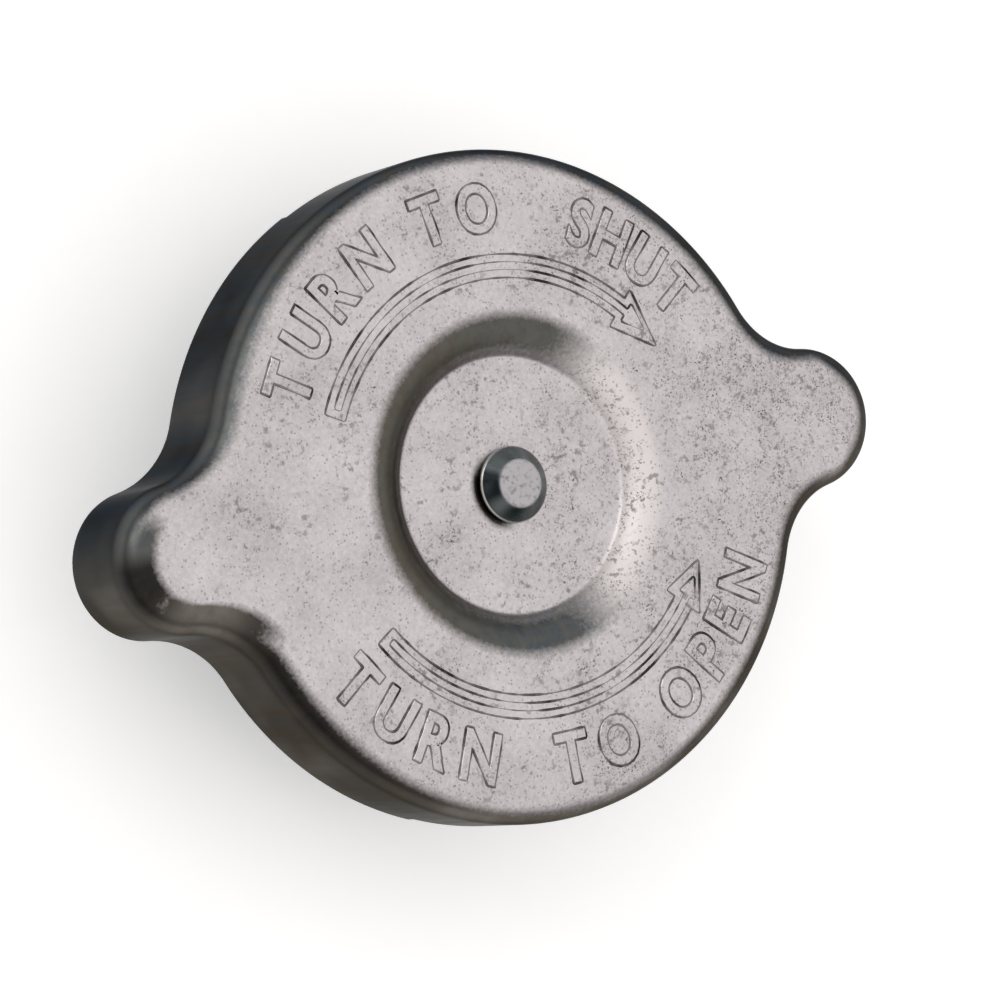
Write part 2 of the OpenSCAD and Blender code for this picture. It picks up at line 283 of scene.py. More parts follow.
def fillet(corners: Loop, radius: float, steps: int = 4, closed: bool = True) -> Loop:
    """Rounds the corners of a section.

    Args:
        corners: corner points of the section.
        radius: radius of the rounding, cut down where an edge is too short.
        steps: segments of each rounding.
        closed: whether the last point joins the first.

    Returns:
        The rounded section.
    """
    # Largest share of an edge that one rounding takes
    most = 0.45
    rounded: Loop = []
    count = len(corners)
    for k, corner in enumerate(corners):
        here = Vector(corner)
        back = Vector(corners[k - 1]) - here
        ahead = Vector(corners[(k + 1) % count]) - here
        half_turn = (math.pi - back.angle(ahead, math.pi)) / 2
        reach = min(radius * math.tan(half_turn), most * back.length, most * ahead.length)
        if reach < 1e-4 or (not closed and k in (0, count - 1)):
            rounded.append(corner)
            continue
        first = here + back.normalized() * reach
        last = here + ahead.normalized() * reach
        for step in range(steps + 1):
            share = step / steps
            bow = first * (1 - share) ** 2 + here * 2 * share * (1 - share) + last * share**2
            rounded.append((bow.x, bow.y))
    return rounded


def densify(section: Loop, longest: float) -> Loop:
    """Splits an open section's long edges.

    Args:
        section: points of the section.
        longest: longest edge that is left.

    Returns:
        The section with the points added.
    """
    dense = [section[0]]
    for (ax, ay), (bx, by) in zip(section, section[1:]):
        count = max(1, math.ceil(math.hypot(bx - ax, by - ay) / longest))
        shares = [k / count for k in range(1, count + 1)]
        dense += [(ax + (bx - ax) * share, ay + (by - ay) * share) for share in shares]
    return dense


# Meshes


def place_object(name: str, data: bpy.types.ID) -> Piece:
    """Makes an object in the scene.

    Args:
        name: the object's name.
        data: its mesh, text, lamp or camera.

    Returns:
        The object, at the origin.
    """
    made = bpy.data.objects.new(name, data)
    bpy.context.scene.collection.objects.link(made)
    return made


def mesh_object(name: str, points: list, faces: list, values: Values | None = None) -> Piece:
    """Makes a mesh object from points in millimetres.

    Args:
        name: the object's name.
        points: corner points.
        faces: corner numbers of each face.
        values: named values, one for each point, kept as attributes.

    Returns:
        The object, with its place in its mesh.
    """
    mesh = bpy.data.meshes.new(name)
    mesh.from_pydata([Vector(p) * MM for p in points], [], faces)
    for key, numbers in (values or {}).items():
        mesh.attributes.new(key, "FLOAT", "POINT").data.foreach_set("value", numbers)
    mesh.update()
    return place_object(name, mesh)


def evaluated_mesh(carrier: Piece) -> bpy.types.Mesh:
    """Works out an object's text or modifiers and keeps the result as a plain mesh."""
    bpy.context.view_layer.update()
    return bpy.data.meshes.new_from_object(carrier.evaluated_get(bpy.context.evaluated_depsgraph_get()))


def smooth(piece: Piece, sharp_deg: float = 32.0, outward: bool = True) -> Piece:
    """Merges doubles, points the faces outwards and shades smooth up to an angle.

    Args:
        piece: mesh object to finish.
        sharp_deg: edges that turn by more than this stay sharp.
        outward: whether the normals are worked out again.

    Returns:
        The same object.
    """
    work = bmesh.new()
    work.from_mesh(piece.data)
    bmesh.ops.remove_doubles(work, verts=work.verts, dist=MERGE)
    bmesh.ops.dissolve_degenerate(work, edges=work.edges, dist=MERGE)
    if outward:
        bmesh.ops.recalc_face_normals(work, faces=work.faces)
    limit = math.radians(sharp_deg)
    for face in work.faces:
        face.smooth = True
    for edge in work.edges:
        edge.smooth = len(edge.link_faces) == 2 and edge.calc_face_angle(0.0) < limit
    work.to_mesh(piece.data)
    work.free()
    return piece


def ring_faces(columns: int, rows: int, closed: bool = True) -> list[tuple[int, ...]]:
    """Faces between columns of points that stand in a ring.

    Args:
        columns: number of columns.
        rows: points in each column.
        closed: whether a column's last point joins its first.

    Returns:
        Corner numbers of each face.
    """
    faces = []
    for k in range(columns):
        here = k * rows
        there = (k + 1) % columns * rows
        for row in range(rows if closed else rows - 1):
            after = (row + 1) % rows
            faces.append((here + row, there + row, there + after, here + after))
    return faces


def revolve(name: str, section: Loop, closed: bool = True, segments: int = 160,
            values: Values | None = None) -> Piece:
    """Turns a half section round the Z axis.

    Args:
        name: the object's name.
        section: radius and height of each point.
        closed: whether the section is a closed ring, or runs from pole to pole.
        segments: number of steps round the axis.
        values: named values, one for each point of the section.

    Returns:
        The smooth-shaded object.
    """
    angles = [math.tau * k / segments for k in range(segments)]
    points = [(*polar(r, angle), z) for angle in angles for r, z in section]
    spread = {key: numbers * segments for key, numbers in (values or {}).items()}
    return smooth(mesh_object(name, points, ring_faces(segments, len(section), closed), spread))


def relief_object(name: str, shapes: Shapes, base: float, height: float) -> Piece:
    """Makes low raised shapes with sloping sides, closed below and let a little into the sheet.

    Args:
        name: the object's name.
        shapes: for each shape the loops of its foot and of its top, with the solid on their left.
        base: level of the face that carries them.
        height: how far they stand out.

    Returns:
        The object.
    """
    # How far the shapes are let into the sheet
    sink = 0.1
    points: list = []
    faces: list = []
    for loops, tops in shapes:
        floor: list[int] = []
        roof: list[int] = []
        for loop, top in zip(loops, tops):
            first = len(points)
            count = len(loop)
            levels = ((loop, base - sink), (loop, base), (top, base + height))
            points += [(x, y, level) for line, level in levels for x, y in line]
            floor += range(first, first + count)
            roof += range(first + 2 * count, first + 3 * count)
            for low in (first, first + count):
                for k in range(count):
                    after = (k + 1) % count
                    faces.append((low + k, low + after, low + count + after, low + count + k))
        for numbers, outlines, upside in ((roof, tops, True), (floor, loops, False)):
            for trio in tessellate_polygon([[Vector((x, y, 0)) for x, y in loop] for loop in outlines]):
                a, b, c = (numbers[k] for k in trio)
                upward = signed_area([points[k][:2] for k in (a, b, c)]) > 0
                faces.append((a, b, c) if upward == upside else (a, c, b))
    # A pressed shape keeps all its edges sharp
    return smooth(mesh_object(name, points, faces), sharp_deg=1.0, outward=False)


def bake_nodes(name: str, tree: Tree, values: dict, start: bpy.types.Mesh | None = None) -> Piece:
    """Runs a geometry node tree once and keeps its result as a plain mesh.

    Args:
        name: the new object's name.
        tree: the node tree.
        values: the tree's inputs by name.
        start: mesh that the tree works on, where it needs one.

    Returns:
        The object with the finished mesh and no modifier.
    """
    carrier = place_object(name, start or bpy.data.meshes.new(name))
    modifier = carrier.modifiers.new("shape", "NODES")
    modifier.node_group = tree
    for item in tree.interface.items_tree:
        if item.in_out == "INPUT" and item.name in values:
            modifier[item.identifier] = values[item.name]
    mesh = evaluated_mesh(carrier)
    carrier.modifiers.remove(modifier)
    carrier.data = mesh
    mesh.name = name
    return carrier


def coil_tree(close: float = 0.75, close_pitch: float = 1.15, sides: int = 20) -> Tree:
    """Builds the tree of a wire coil whose end turns lie close.

    Args:
        close: turns at each end that lie close.
        close_pitch: rise of a close turn, in wire diameters.
        sides: sides of the wire.

    Returns:
        The tree, with the inputs Radius, Wire, Turns, Length, Base, Steps and Material.
    """
    kinds = dict.fromkeys(("Radius", "Wire", "Turns", "Length", "Base"), "Float")
    tree, add, given = new_tree("wire_coil", {**kinds, "Steps": "Int", "Material": "Material"})
    line = add("GeometryNodeCurvePrimitiveLine")
    path = add("GeometryNodeResampleCurve", {"Curve": line, "Count": given["Steps"]})
    share = add("GeometryNodeSplineParameter", out="Factor")
    turn = add("Math", (share, given["Turns"]), operation="MULTIPLY")
    angle = add("Math", (turn, math.tau), operation="MULTIPLY")
    close_rise = add("Math", (given["Wire"], close * close_pitch), operation="MULTIPLY")
    last = add("Math", (given["Turns"], close), operation="SUBTRACT")
    room = add("Math", (given["Length"], given["Wire"]), operation="SUBTRACT")
    open_rise = add("Math", (close_rise, -2.0, room), operation="MULTIPLY_ADD")
    height = add("Math", (given["Wire"], 0.5, given["Base"]), operation="MULTIPLY_ADD")
    stretches = ((0.0, close, close_rise), (close, last, open_rise), (last, given["Turns"], close_rise))
    for low, high, rise in stretches:
        part = add("MapRange", (turn, low, high, 0.0, rise))
        height = add("Math", (height, part), operation="ADD")
    place = {"Z": height}
    for axis, wave in (("X", "COSINE"), ("Y", "SINE")):
        unit = add("Math", (angle,), operation=wave)
        place[axis] = add("Math", (unit, given["Radius"]), operation="MULTIPLY")
    helix = add("GeometryNodeSetPosition", {"Geometry": path, "Position": add("CombineXYZ", place)})
    half = add("Math", (given["Wire"], 0.5), operation="MULTIPLY")
    ring = add("GeometryNodeCurvePrimitiveCircle", {"Resolution": sides, "Radius": half})
    wire = add("GeometryNodeCurveToMesh", {"Curve": helix, "Profile Curve": ring, "Fill Caps": True})
    return close_tree(tree, wire, given["Material"])


def line_tree(step: float = 0.2, sides: int = 6) -> Tree:
    """Builds the tree that lays a thin round line along every edge of a mesh.

    Args:
        step: length of a line's segments.
        sides: sides of a line.

    Returns:
        The tree, with the inputs Geometry, Width, Break and Material. A line swells and thins over Break.
    """
    kinds = {"Geometry": "Geometry", "Width": "Float", "Break": "Float", "Material": "Material"}
    tree, add, given = new_tree("crease_line", kinds)
    path = add("GeometryNodeMeshToCurve", {"Mesh": given["Geometry"]})
    even = add("GeometryNodeResampleCurve", {"Curve": path, "Length": step * MM}, mode="LENGTH")
    half = add("Math", (given["Width"], 0.5), operation="MULTIPLY")
    scale = add("Math", (1.0, given["Break"]), operation="DIVIDE")
    place = add("GeometryNodeInputPosition")
    fade = add("TexNoise", {"Vector": place, "Scale": scale, "Detail": 3.0})
    swell = add("MapRange", (fade, 0.4, 0.62, 1.5, 0.55))
    ring = add("GeometryNodeCurvePrimitiveCircle", {"Resolution": sides, "Radius": half})
    line = add("GeometryNodeCurveToMesh", {"Curve": even, "Profile Curve": ring, "Scale": swell})
    return close_tree(tree, line, given["Material"])


# Finishes


@dataclass(frozen=True)
class TinPlate:
    """Tin-plated steel sheet, rolled and pressed."""

    light: str = "#d9d4d5"
    shade: str = "#b8b2b4"
    # Painted light on the right of the dish's wall
    pale: str = "#e3dddc"
    pit: str = "#504c4b"
    # The bend, edge and wall tones are darker than the sheet: the near-black edge and much of the darkness
    # of the bends, the skirt and the dish's wall are painted shade
    bend: str = "#76756f"
    edge: str = "#211f1e"
    wall: str = "#706d68"
    blue: str = "#34495a"
    olive: str = "#544a3a"
    # An oily skin keeps the dark walls from flaring at a low angle
    skin: str = "#9f9f9f"
    face_roughness: float = 0.38
    bend_roughness: float = 0.32
    # Spacing of the single pits, the specks, their clusters and the stains
    pit_mm: float = 0.3
    speck_mm: float = 0.2
    cluster_mm: float = 1.3
    stain_mm: float = 0.55
    # Size of the cloudy patches and of the smears
    patch_mm: float = 7.0
    smear_mm: float = 9.0
    # The rolled grain is finer than a pixel, so it is drawn coarser than it is to show
    grain_mm: float = 0.3
    # Spacing of the draw lines, and their width as a share of their length
    streak_mm: float = 1.1
    streak_share: float = 0.07
    pit_depth_mm: float = 0.03
    # How much thicker the pits get with each millimetre towards the right ear
    lean_per_mm: float = 0.0045

    def pits(self, add: Adder, grid: Socket, cloud: Socket) -> Socket:
        """Adds the dark pits, thicker towards the right ear.

        Args:
            add: the function that adds a node.
            grid: place in millimetres.
            cloud: the cloudy patches.

        Returns:
            How far a spot is pitted, from 0 to 1.
        """
        side = add("SeparateXYZ", (grid,), "X")
        lean = add("Math", (side, self.lean_per_mm, cloud), operation="MULTIPLY_ADD")
        dense = add("MapRange", (lean, 0.4, 0.68))
        # Single pits: a little noise in the place makes them ragged instead of round
        ragged = add("TexNoise", {"Vector": grid, "Scale": 2 / self.pit_mm, "Detail": 1.0}, "Color")
        shift = add("VectorMath", {0: ragged, "Scale": self.pit_mm * 0.7}, operation="SCALE")
        spot = add("VectorMath", (grid, shift), operation="ADD")
        gap = add("TexVoronoi", {"Vector": spot, "Scale": 1 / self.pit_mm}, "Distance")
        near = add("MapRange", (gap, 0.16, 0.4, 0.45, 0.0))
        chance = add("SeparateColor", (gap.node.outputs["Color"],))
        bar = add("Math", (dense, -0.35, 0.72), operation="MULTIPLY_ADD")
        chosen = add("Math", (chance, bar), operation="GREATER_THAN")
        total = add("Math", (near, chosen), operation="MULTIPLY")
        # Sandy specks and soft stains that crowd together, most of all in the dense patches
        kinds = ((self.speck_mm, self.cluster_mm, 0.85, 0.6), (self.stain_mm, self.patch_mm / 3, 0.5, 0.5))
        for spacing, group, depth, start in kinds:
            frayed = {"Vector": grid, "Scale": 1 / spacing, "Detail": 2.0, "Distortion": 0.15}
            wander = add("TexNoise", frayed)
            speck = add("MapRange", (wander, 0.57, 0.67, 0.0, depth))
            drift = add("TexNoise", {"Vector": grid, "Scale": 1 / group, "Detail": 2.0})
            lead = add("Math", (dense, 0.22, drift), operation="MULTIPLY_ADD")
            crowd = add("MapRange", (lead, start, start + 0.2))
            mask = add("Math", (speck, crowd), operation="MULTIPLY")
            total = add("Math", (total, mask), operation="MAXIMUM")
        return total

    def bent(self, add: Adder, grid: Socket, streak: Socket, marks: dict[str, Socket]) -> Socket:
        """Adds the colour of the burnished bends, the skirt and the dish's wall, with their painted shade
        and painted light.

        Args:
            add: the function that adds a node.
            grid: place in millimetres.
            streak: the draw lines.
            marks: the shell's values.

        Returns:
            The colour.
        """
        hue = add("Math", (streak, 0.9, marks["warm"]), operation="MULTIPLY_ADD")
        hue = add("MapRange", (hue, 0.6, 1.3))
        tint = add("Mix", {0: hue, 6: self.blue, 7: self.olive}, **BLEND)
        # Handling has left broad dark smears on the skirt
        smear = add("TexNoise", {"Vector": grid, "Scale": 1 / self.smear_mm, "Detail": 2.0})
        smear = add("MapRange", (smear, 0.38, 0.6, 0.55, 1.0))
        unshaded = add("Math", (marks["skirt"], smear), operation="MULTIPLY")
        # The skirt is darker where its tint is cooler, towards +Y
        side = add("Math", (marks["warm"], 0.75, 0.4), operation="MULTIPLY_ADD")
        unshaded = add("Math", (unshaded, side), operation="MULTIPLY")
        rim = add("Mix", {0: unshaded, 6: self.edge, 7: self.wall}, **BLEND)
        bare = add("Mix", {0: marks["dish"], 6: rim, 7: self.bend}, **BLEND)
        bright = add("MapRange", (streak, 0.4, 0.7, 0.1, 0.5))
        # Places with painted shade are black and show little of the tints
        shown = add("Math", (marks["skirt"], marks["dish"]), operation="MAXIMUM")
        tinted = add("MapRange", (shown, 0.0, 1.0, 0.3, 1.0))
        tinted = add("Math", (marks["dish"], 0.6, tinted), operation="MULTIPLY_ADD")
        bright = add("Math", (bright, tinted), operation="MULTIPLY")
        return add("Mix", {0: bright, 6: bare, 7: tint}, **BLEND)

    def build(self) -> Material:
        """Builds the material.

        Returns:
            The material.
        """
        # Tin plate gives the eye a soft pinkish sheen, pepper-like pits and dark glossy bends, darkened in
        # part with painted shade
        material, add, grid = new_material("tin_plated_sheet")
        marks = {name: add("Attribute", out="Fac", attribute_name=name) for name in SHELL_VALUES}
        satin = marks["satin"]
        patches = {"Vector": grid, "Scale": 1 / self.patch_mm, "Detail": 5.0, "Roughness": 0.62}
        cloud = add("TexNoise", patches)
        rolled = {"Vector": grid, "Scale": 1 / self.grain_mm, "Detail": 4.0, "Roughness": 0.7}
        grain = add("TexNoise", rolled)
        # The edge of a bend's burnish and painted shade is ragged, so the grain eats into it
        ragged = add("Math", (grain, 0.5, -0.25), operation="MULTIPLY_ADD")
        worn_and_painted = add("Math", (marks["drawn"], ragged), operation="ADD")
        worn_and_painted = add("MapRange", (worn_and_painted, 0.08, 0.92))
        flat = add("Math", (1.0, worn_and_painted), operation="SUBTRACT")
        crowd = add("Math", (satin, 0.1, cloud), operation="MULTIPLY_ADD")
        pits = add("Math", (self.pits(add, grid, crowd), flat), operation="MULTIPLY")
        mottle = add("Mix", {0: 0.55, 2: cloud, 3: grain}, data_type="FLOAT")
        mottle = add("MapRange", (mottle, 0.36, 0.66))
        tone = add("Mix", {0: mottle, 6: self.light, 7: self.shade}, **BLEND)
        # The right of the dish's wall gets painted light
        tone = add("Mix", {0: satin, 6: tone, 7: self.pale}, **BLEND)
        face = add("Mix", {0: pits, 6: tone, 7: self.pit}, **BLEND)
        # Vertical draw lines run down the drawn parts
        drawn_out = add("Mapping", {"Vector": grid, "Scale": (1.0, 1.0, self.streak_share)})
        lines = {"Vector": drawn_out, "Scale": 1 / self.streak_mm, "Detail": 4.0, "Roughness": 0.65}
        streak = add("TexNoise", lines)
        bent = self.bent(add, grid, streak, marks)
        rough = add("Math", (cloud, 0.12, self.face_roughness - 0.06), operation="MULTIPLY_ADD")
        rough = add("Math", (satin, 0.16, rough), operation="MULTIPLY_ADD")
        rough = add("Math", (pits, 0.3, rough), operation="MULTIPLY_ADD")
        rough_bend = add("Math", (streak, 0.2, self.bend_roughness - 0.1), operation="MULTIPLY_ADD")
        height = add("Math", (grain, 0.3), operation="MULTIPLY")
        height = add("Math", (height, pits), operation="SUBTRACT")
        return close_material(material, {
            "Base Color": add("Mix", {0: worn_and_painted, 6: face, 7: bent}, **BLEND),
            "Roughness": add("Mix", {0: worn_and_painted, 2: rough, 3: rough_bend}, data_type="FLOAT"),
            "Normal": add("Bump", {"Strength": 0.5, "Distance": self.pit_depth_mm * MM, "Height": height}),
            "Metallic": 1.0,
            "Specular Tint": self.skin,
        })


@dataclass(frozen=True)
class RivetSteel:
    """Cold-headed steel rivet with a pitted flat, sides with painted shade and painted light, and a painted
    highlight on a worn edge.
    """

    flat: str = "#b9b6b8"
    pit: str = "#868588"
    # Painted light on the right of the sides, painted shade on the left, and a painted highlight on the
    # rim's worn edge
    side: str = "#8b9394"
    painted_shade: str = "#1c2022"
    worn_and_painted: str = "#cfc9c6"
    # Spacing and depth of the pits on the flat, and spacing of the clouds on the sides
    pit_mm: float = 0.4
    pit_depth_mm: float = 0.03
    cloud_mm: float = 2.6

    def build(self) -> Material:
        """Builds the material.

        Returns:
            The material.
        """
        # Cold-headed steel gives the eye a dull coin-like top in a ring of painted shade with one painted
        # highlight line
        material, add, grid = new_material("cold_headed_steel")
        drawn, edge = (add("Attribute", out="Fac", attribute_name=name) for name in ("drawn", "edge"))
        grain = add("TexNoise", {"Vector": grid, "Scale": 1 / self.pit_mm, "Detail": 3.0, "Roughness": 0.6})
        pits = add("MapRange", (grain, 0.5, 0.72))
        top = add("Mix", {0: pits, 6: self.flat, 7: self.pit}, **BLEND)
        # The sides get painted shade on the left and painted light on the right
        across = add("SeparateXYZ", (grid,), "X")
        lean = add("TexNoise", {"Vector": grid, "Scale": 1 / self.cloud_mm, "Detail": 1.0})
        lean = add("Math", (across, 0.12, lean), operation="MULTIPLY_ADD")
        lean = add("Math", (across.node.outputs["Y"], 0.05, lean), operation="MULTIPLY_ADD")
        painted_side_tone = add("MapRange", (lean, 0.12, 0.85))
        side = add("Mix", {0: painted_side_tone, 6: self.painted_shade, 7: self.side}, **BLEND)
        body = add("Mix", {0: drawn, 6: top, 7: side}, **BLEND)
        return close_material(material, {
            "Base Color": add("Mix", {0: edge, 6: body, 7: self.worn_and_painted}, **BLEND),
            "Roughness": add("MapRange", (drawn, 0.0, 1.0, 0.42, 0.22)),
            "Normal": add("Bump", {"Strength": 0.4, "Distance": self.pit_depth_mm * MM, "Height": grain}),
            "Metallic": 1.0,
        })


@dataclass(frozen=True)
class CreaseDustAndShade:
    """Oily dust and painted shade packed in the creases of the relief."""

    dark: str = "#191716"
    pale: str = "#857d7b"
    metallic: float = 0.35
    roughness: float = 0.6
    # Length over which a line comes and goes
    break_mm: float = 2.4

    def build(self) -> Material:
        """Builds the material.

        Returns:
            The material.
        """
        # Packed dust and painted crease shade give the eye fine dull pencil-like lines that fade in and out
        material, add, grid = new_material("dust_and_shade_in_creases")
        fade = add("TexNoise", {"Vector": grid, "Scale": 1 / self.break_mm, "Detail": 3.0})
        fade = add("MapRange", (fade, 0.34, 0.54))
        colour = add("Mix", {0: fade, 6: self.dark, 7: self.pale}, **BLEND)
        inputs = {"Base Color": colour, "Metallic": self.metallic, "Roughness": self.roughness}
        return close_material(material, inputs)


@dataclass(frozen=True)
class PlatedMetal:
    """A plated, drawn or turned metal with cloudy tone, a second tint and fine tool lines."""

    name: str
    light: str
    shade: str
    roughness: float
    # Size of the cloudy patches
    patch_mm: float = 4.0
    # Real tool lines lie about 0.1 mm apart, and are drawn coarser than that to show
    line_mm: float = 0.25
    line_depth_mm: float = 0.004

    def build(self) -> Material:
        """Builds the material.

        Returns:
            The material.
        """
        # Plated or turned metal gives the eye a bright skin with soft patches and faint turned rings
        material, add, grid = new_material(self.name)
        patches = {"Vector": grid, "Scale": 1 / self.patch_mm, "Detail": 6.0, "Roughness": 0.65}
        cloud = add("TexNoise", patches)
        spread = add("MapRange", (cloud, 0.35, 0.65))
        # At a scale of 0.314 Blender's wave texture repeats once in a unit
        wave = {"Vector": grid, "Scale": 0.314 / self.line_mm, "Distortion": 1.2, "Detail": 2.0}
        rings = add("TexWave", wave, "Fac", wave_type="RINGS", rings_direction="Z")
        return close_material(material, {
            "Base Color": add("Mix", {0: spread, 6: self.light, 7: self.shade}, **BLEND),
            "Roughness": add("Math", (cloud, 0.16, self.roughness - 0.08), operation="MULTIPLY_ADD"),
            "Normal": add("Bump", {"Strength": 0.35, "Distance": self.line_depth_mm * MM, "Height": rings}),
            "Metallic": 1.0,
        })


@dataclass(frozen=True)
class SealRubber:
    """Moulded black nitrile rubber with a die grain and a faint bloom."""

    dark: str = "#1b1b1c"
    bloom: str = "#353536"
    roughness: float = 0.58
    refraction: float = 1.52
    patch_mm: float = 5.0
    # The die's grain is finer than a pixel, so it is drawn coarser than it is to show
    grain_mm: float = 0.3
    grain_depth_mm: float = 0.03

    def build(self) -> Material:
        """Builds the material.

        Returns:
            The material.
        """
        # Nitrile rubber gives the eye a soft matt black with greyish patches
        material, add, grid = new_material("nitrile_rubber")
        cloud = add("TexNoise", {"Vector": grid, "Scale": 1 / self.patch_mm, "Detail": 5.0})
        spread = add("MapRange", (cloud, 0.48, 0.75))
        grain = add("TexNoise", {"Vector": grid, "Scale": 1 / self.grain_mm, "Detail": 2.0})
        return close_material(material, {
            "Base Color": add("Mix", {0: spread, 6: self.dark, 7: self.bloom}, **BLEND),
            "Normal": add("Bump", {"Strength": 0.4, "Distance": self.grain_depth_mm * MM, "Height": grain}),
            "Roughness": self.roughness,
            "IOR": self.refraction,
        })


@dataclass
class Palette:
    """The built materials, one for each slot, and the dust and painted shade in the creases."""

    slots: dict[Slot, Material]
    crease_dust_and_shade: Material

    @classmethod
    def mix(cls) -> Palette:
        """Builds every finish once.

        Returns:
            The palette.
        """
        # Zinc is a bright bluish grey, spring steel darker and glossier, and brass a warm yellow
        spring = PlatedMetal("hard_drawn_spring_steel", "#8d8d92", "#6d6d72", 0.26, patch_mm=2.0)
        finishes = {
            Slot.TINPLATE: TinPlate(),
            Slot.RIVET_STEEL: RivetSteel(),
            Slot.PLATED_STEEL: PlatedMetal("zinc_plated_steel", "#c3c6c8", "#a4a9ad", 0.3),
            Slot.SPRING_STEEL: spring,
            Slot.SEAL_RUBBER: SealRubber(),
            Slot.VALVE_BRASS: PlatedMetal("turned_brass", "#d2ab5c", "#b8893f", 0.27),
        }
        return cls({slot: finish.build() for slot, finish in finishes.items()}, CreaseDustAndShade().build())

    def dress(self, piece: Piece, slot: Slot, body: Body, *nodes: str) -> None:
        """Gives a piece its finish and body, hides the CAD nodes that it stands for, and reports it.

        Args:
            piece: the finished piece.
            slot: material slot that it takes its finish from.
            body: body that it moves with.
            nodes: CAD nodes that it stands for.
        """
        if not piece.data.materials:
            piece.data.materials.append(self.slots[slot])
        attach(piece, body.value)
        if nodes:
            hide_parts(*nodes)
        LOG.info("%s: %d faces on %s", piece.name, len(piece.data.polygons), body.value)

    def dress_copy(self, node: str, name: str, slot: Slot, body: Body) -> None:
        """Replaces a CAD node by a merged copy that shades smoothly.

        Args:
            node: the CAD node.
            name: name of the copy.
            slot: material slot of the copy.
            body: body that it moves with.
        """
        mesh = bpy.data.objects[node].data.copy()
        mesh.materials.clear()
        for layer in [a.name for a in mesh.attributes if a.name == "custom_normal"]:
            mesh.attributes.remove(mesh.attributes[layer])
        self.dress(smooth(place_object(name, mesh), outward=False), slot, body, node)


# Sub-assemblies


@dataclass(frozen=True)
class Station:
    """One place on the shell's outline: point, outward direction and whether a lug hangs there."""

    spot: Point
    out: Point
    lug: bool

    def inward(self, distance: float) -> Point:
        """Point at a distance inside the outline."""
        return self.spot[0] - self.out[0] * distance, self.spot[1] - self.out[1] * distance


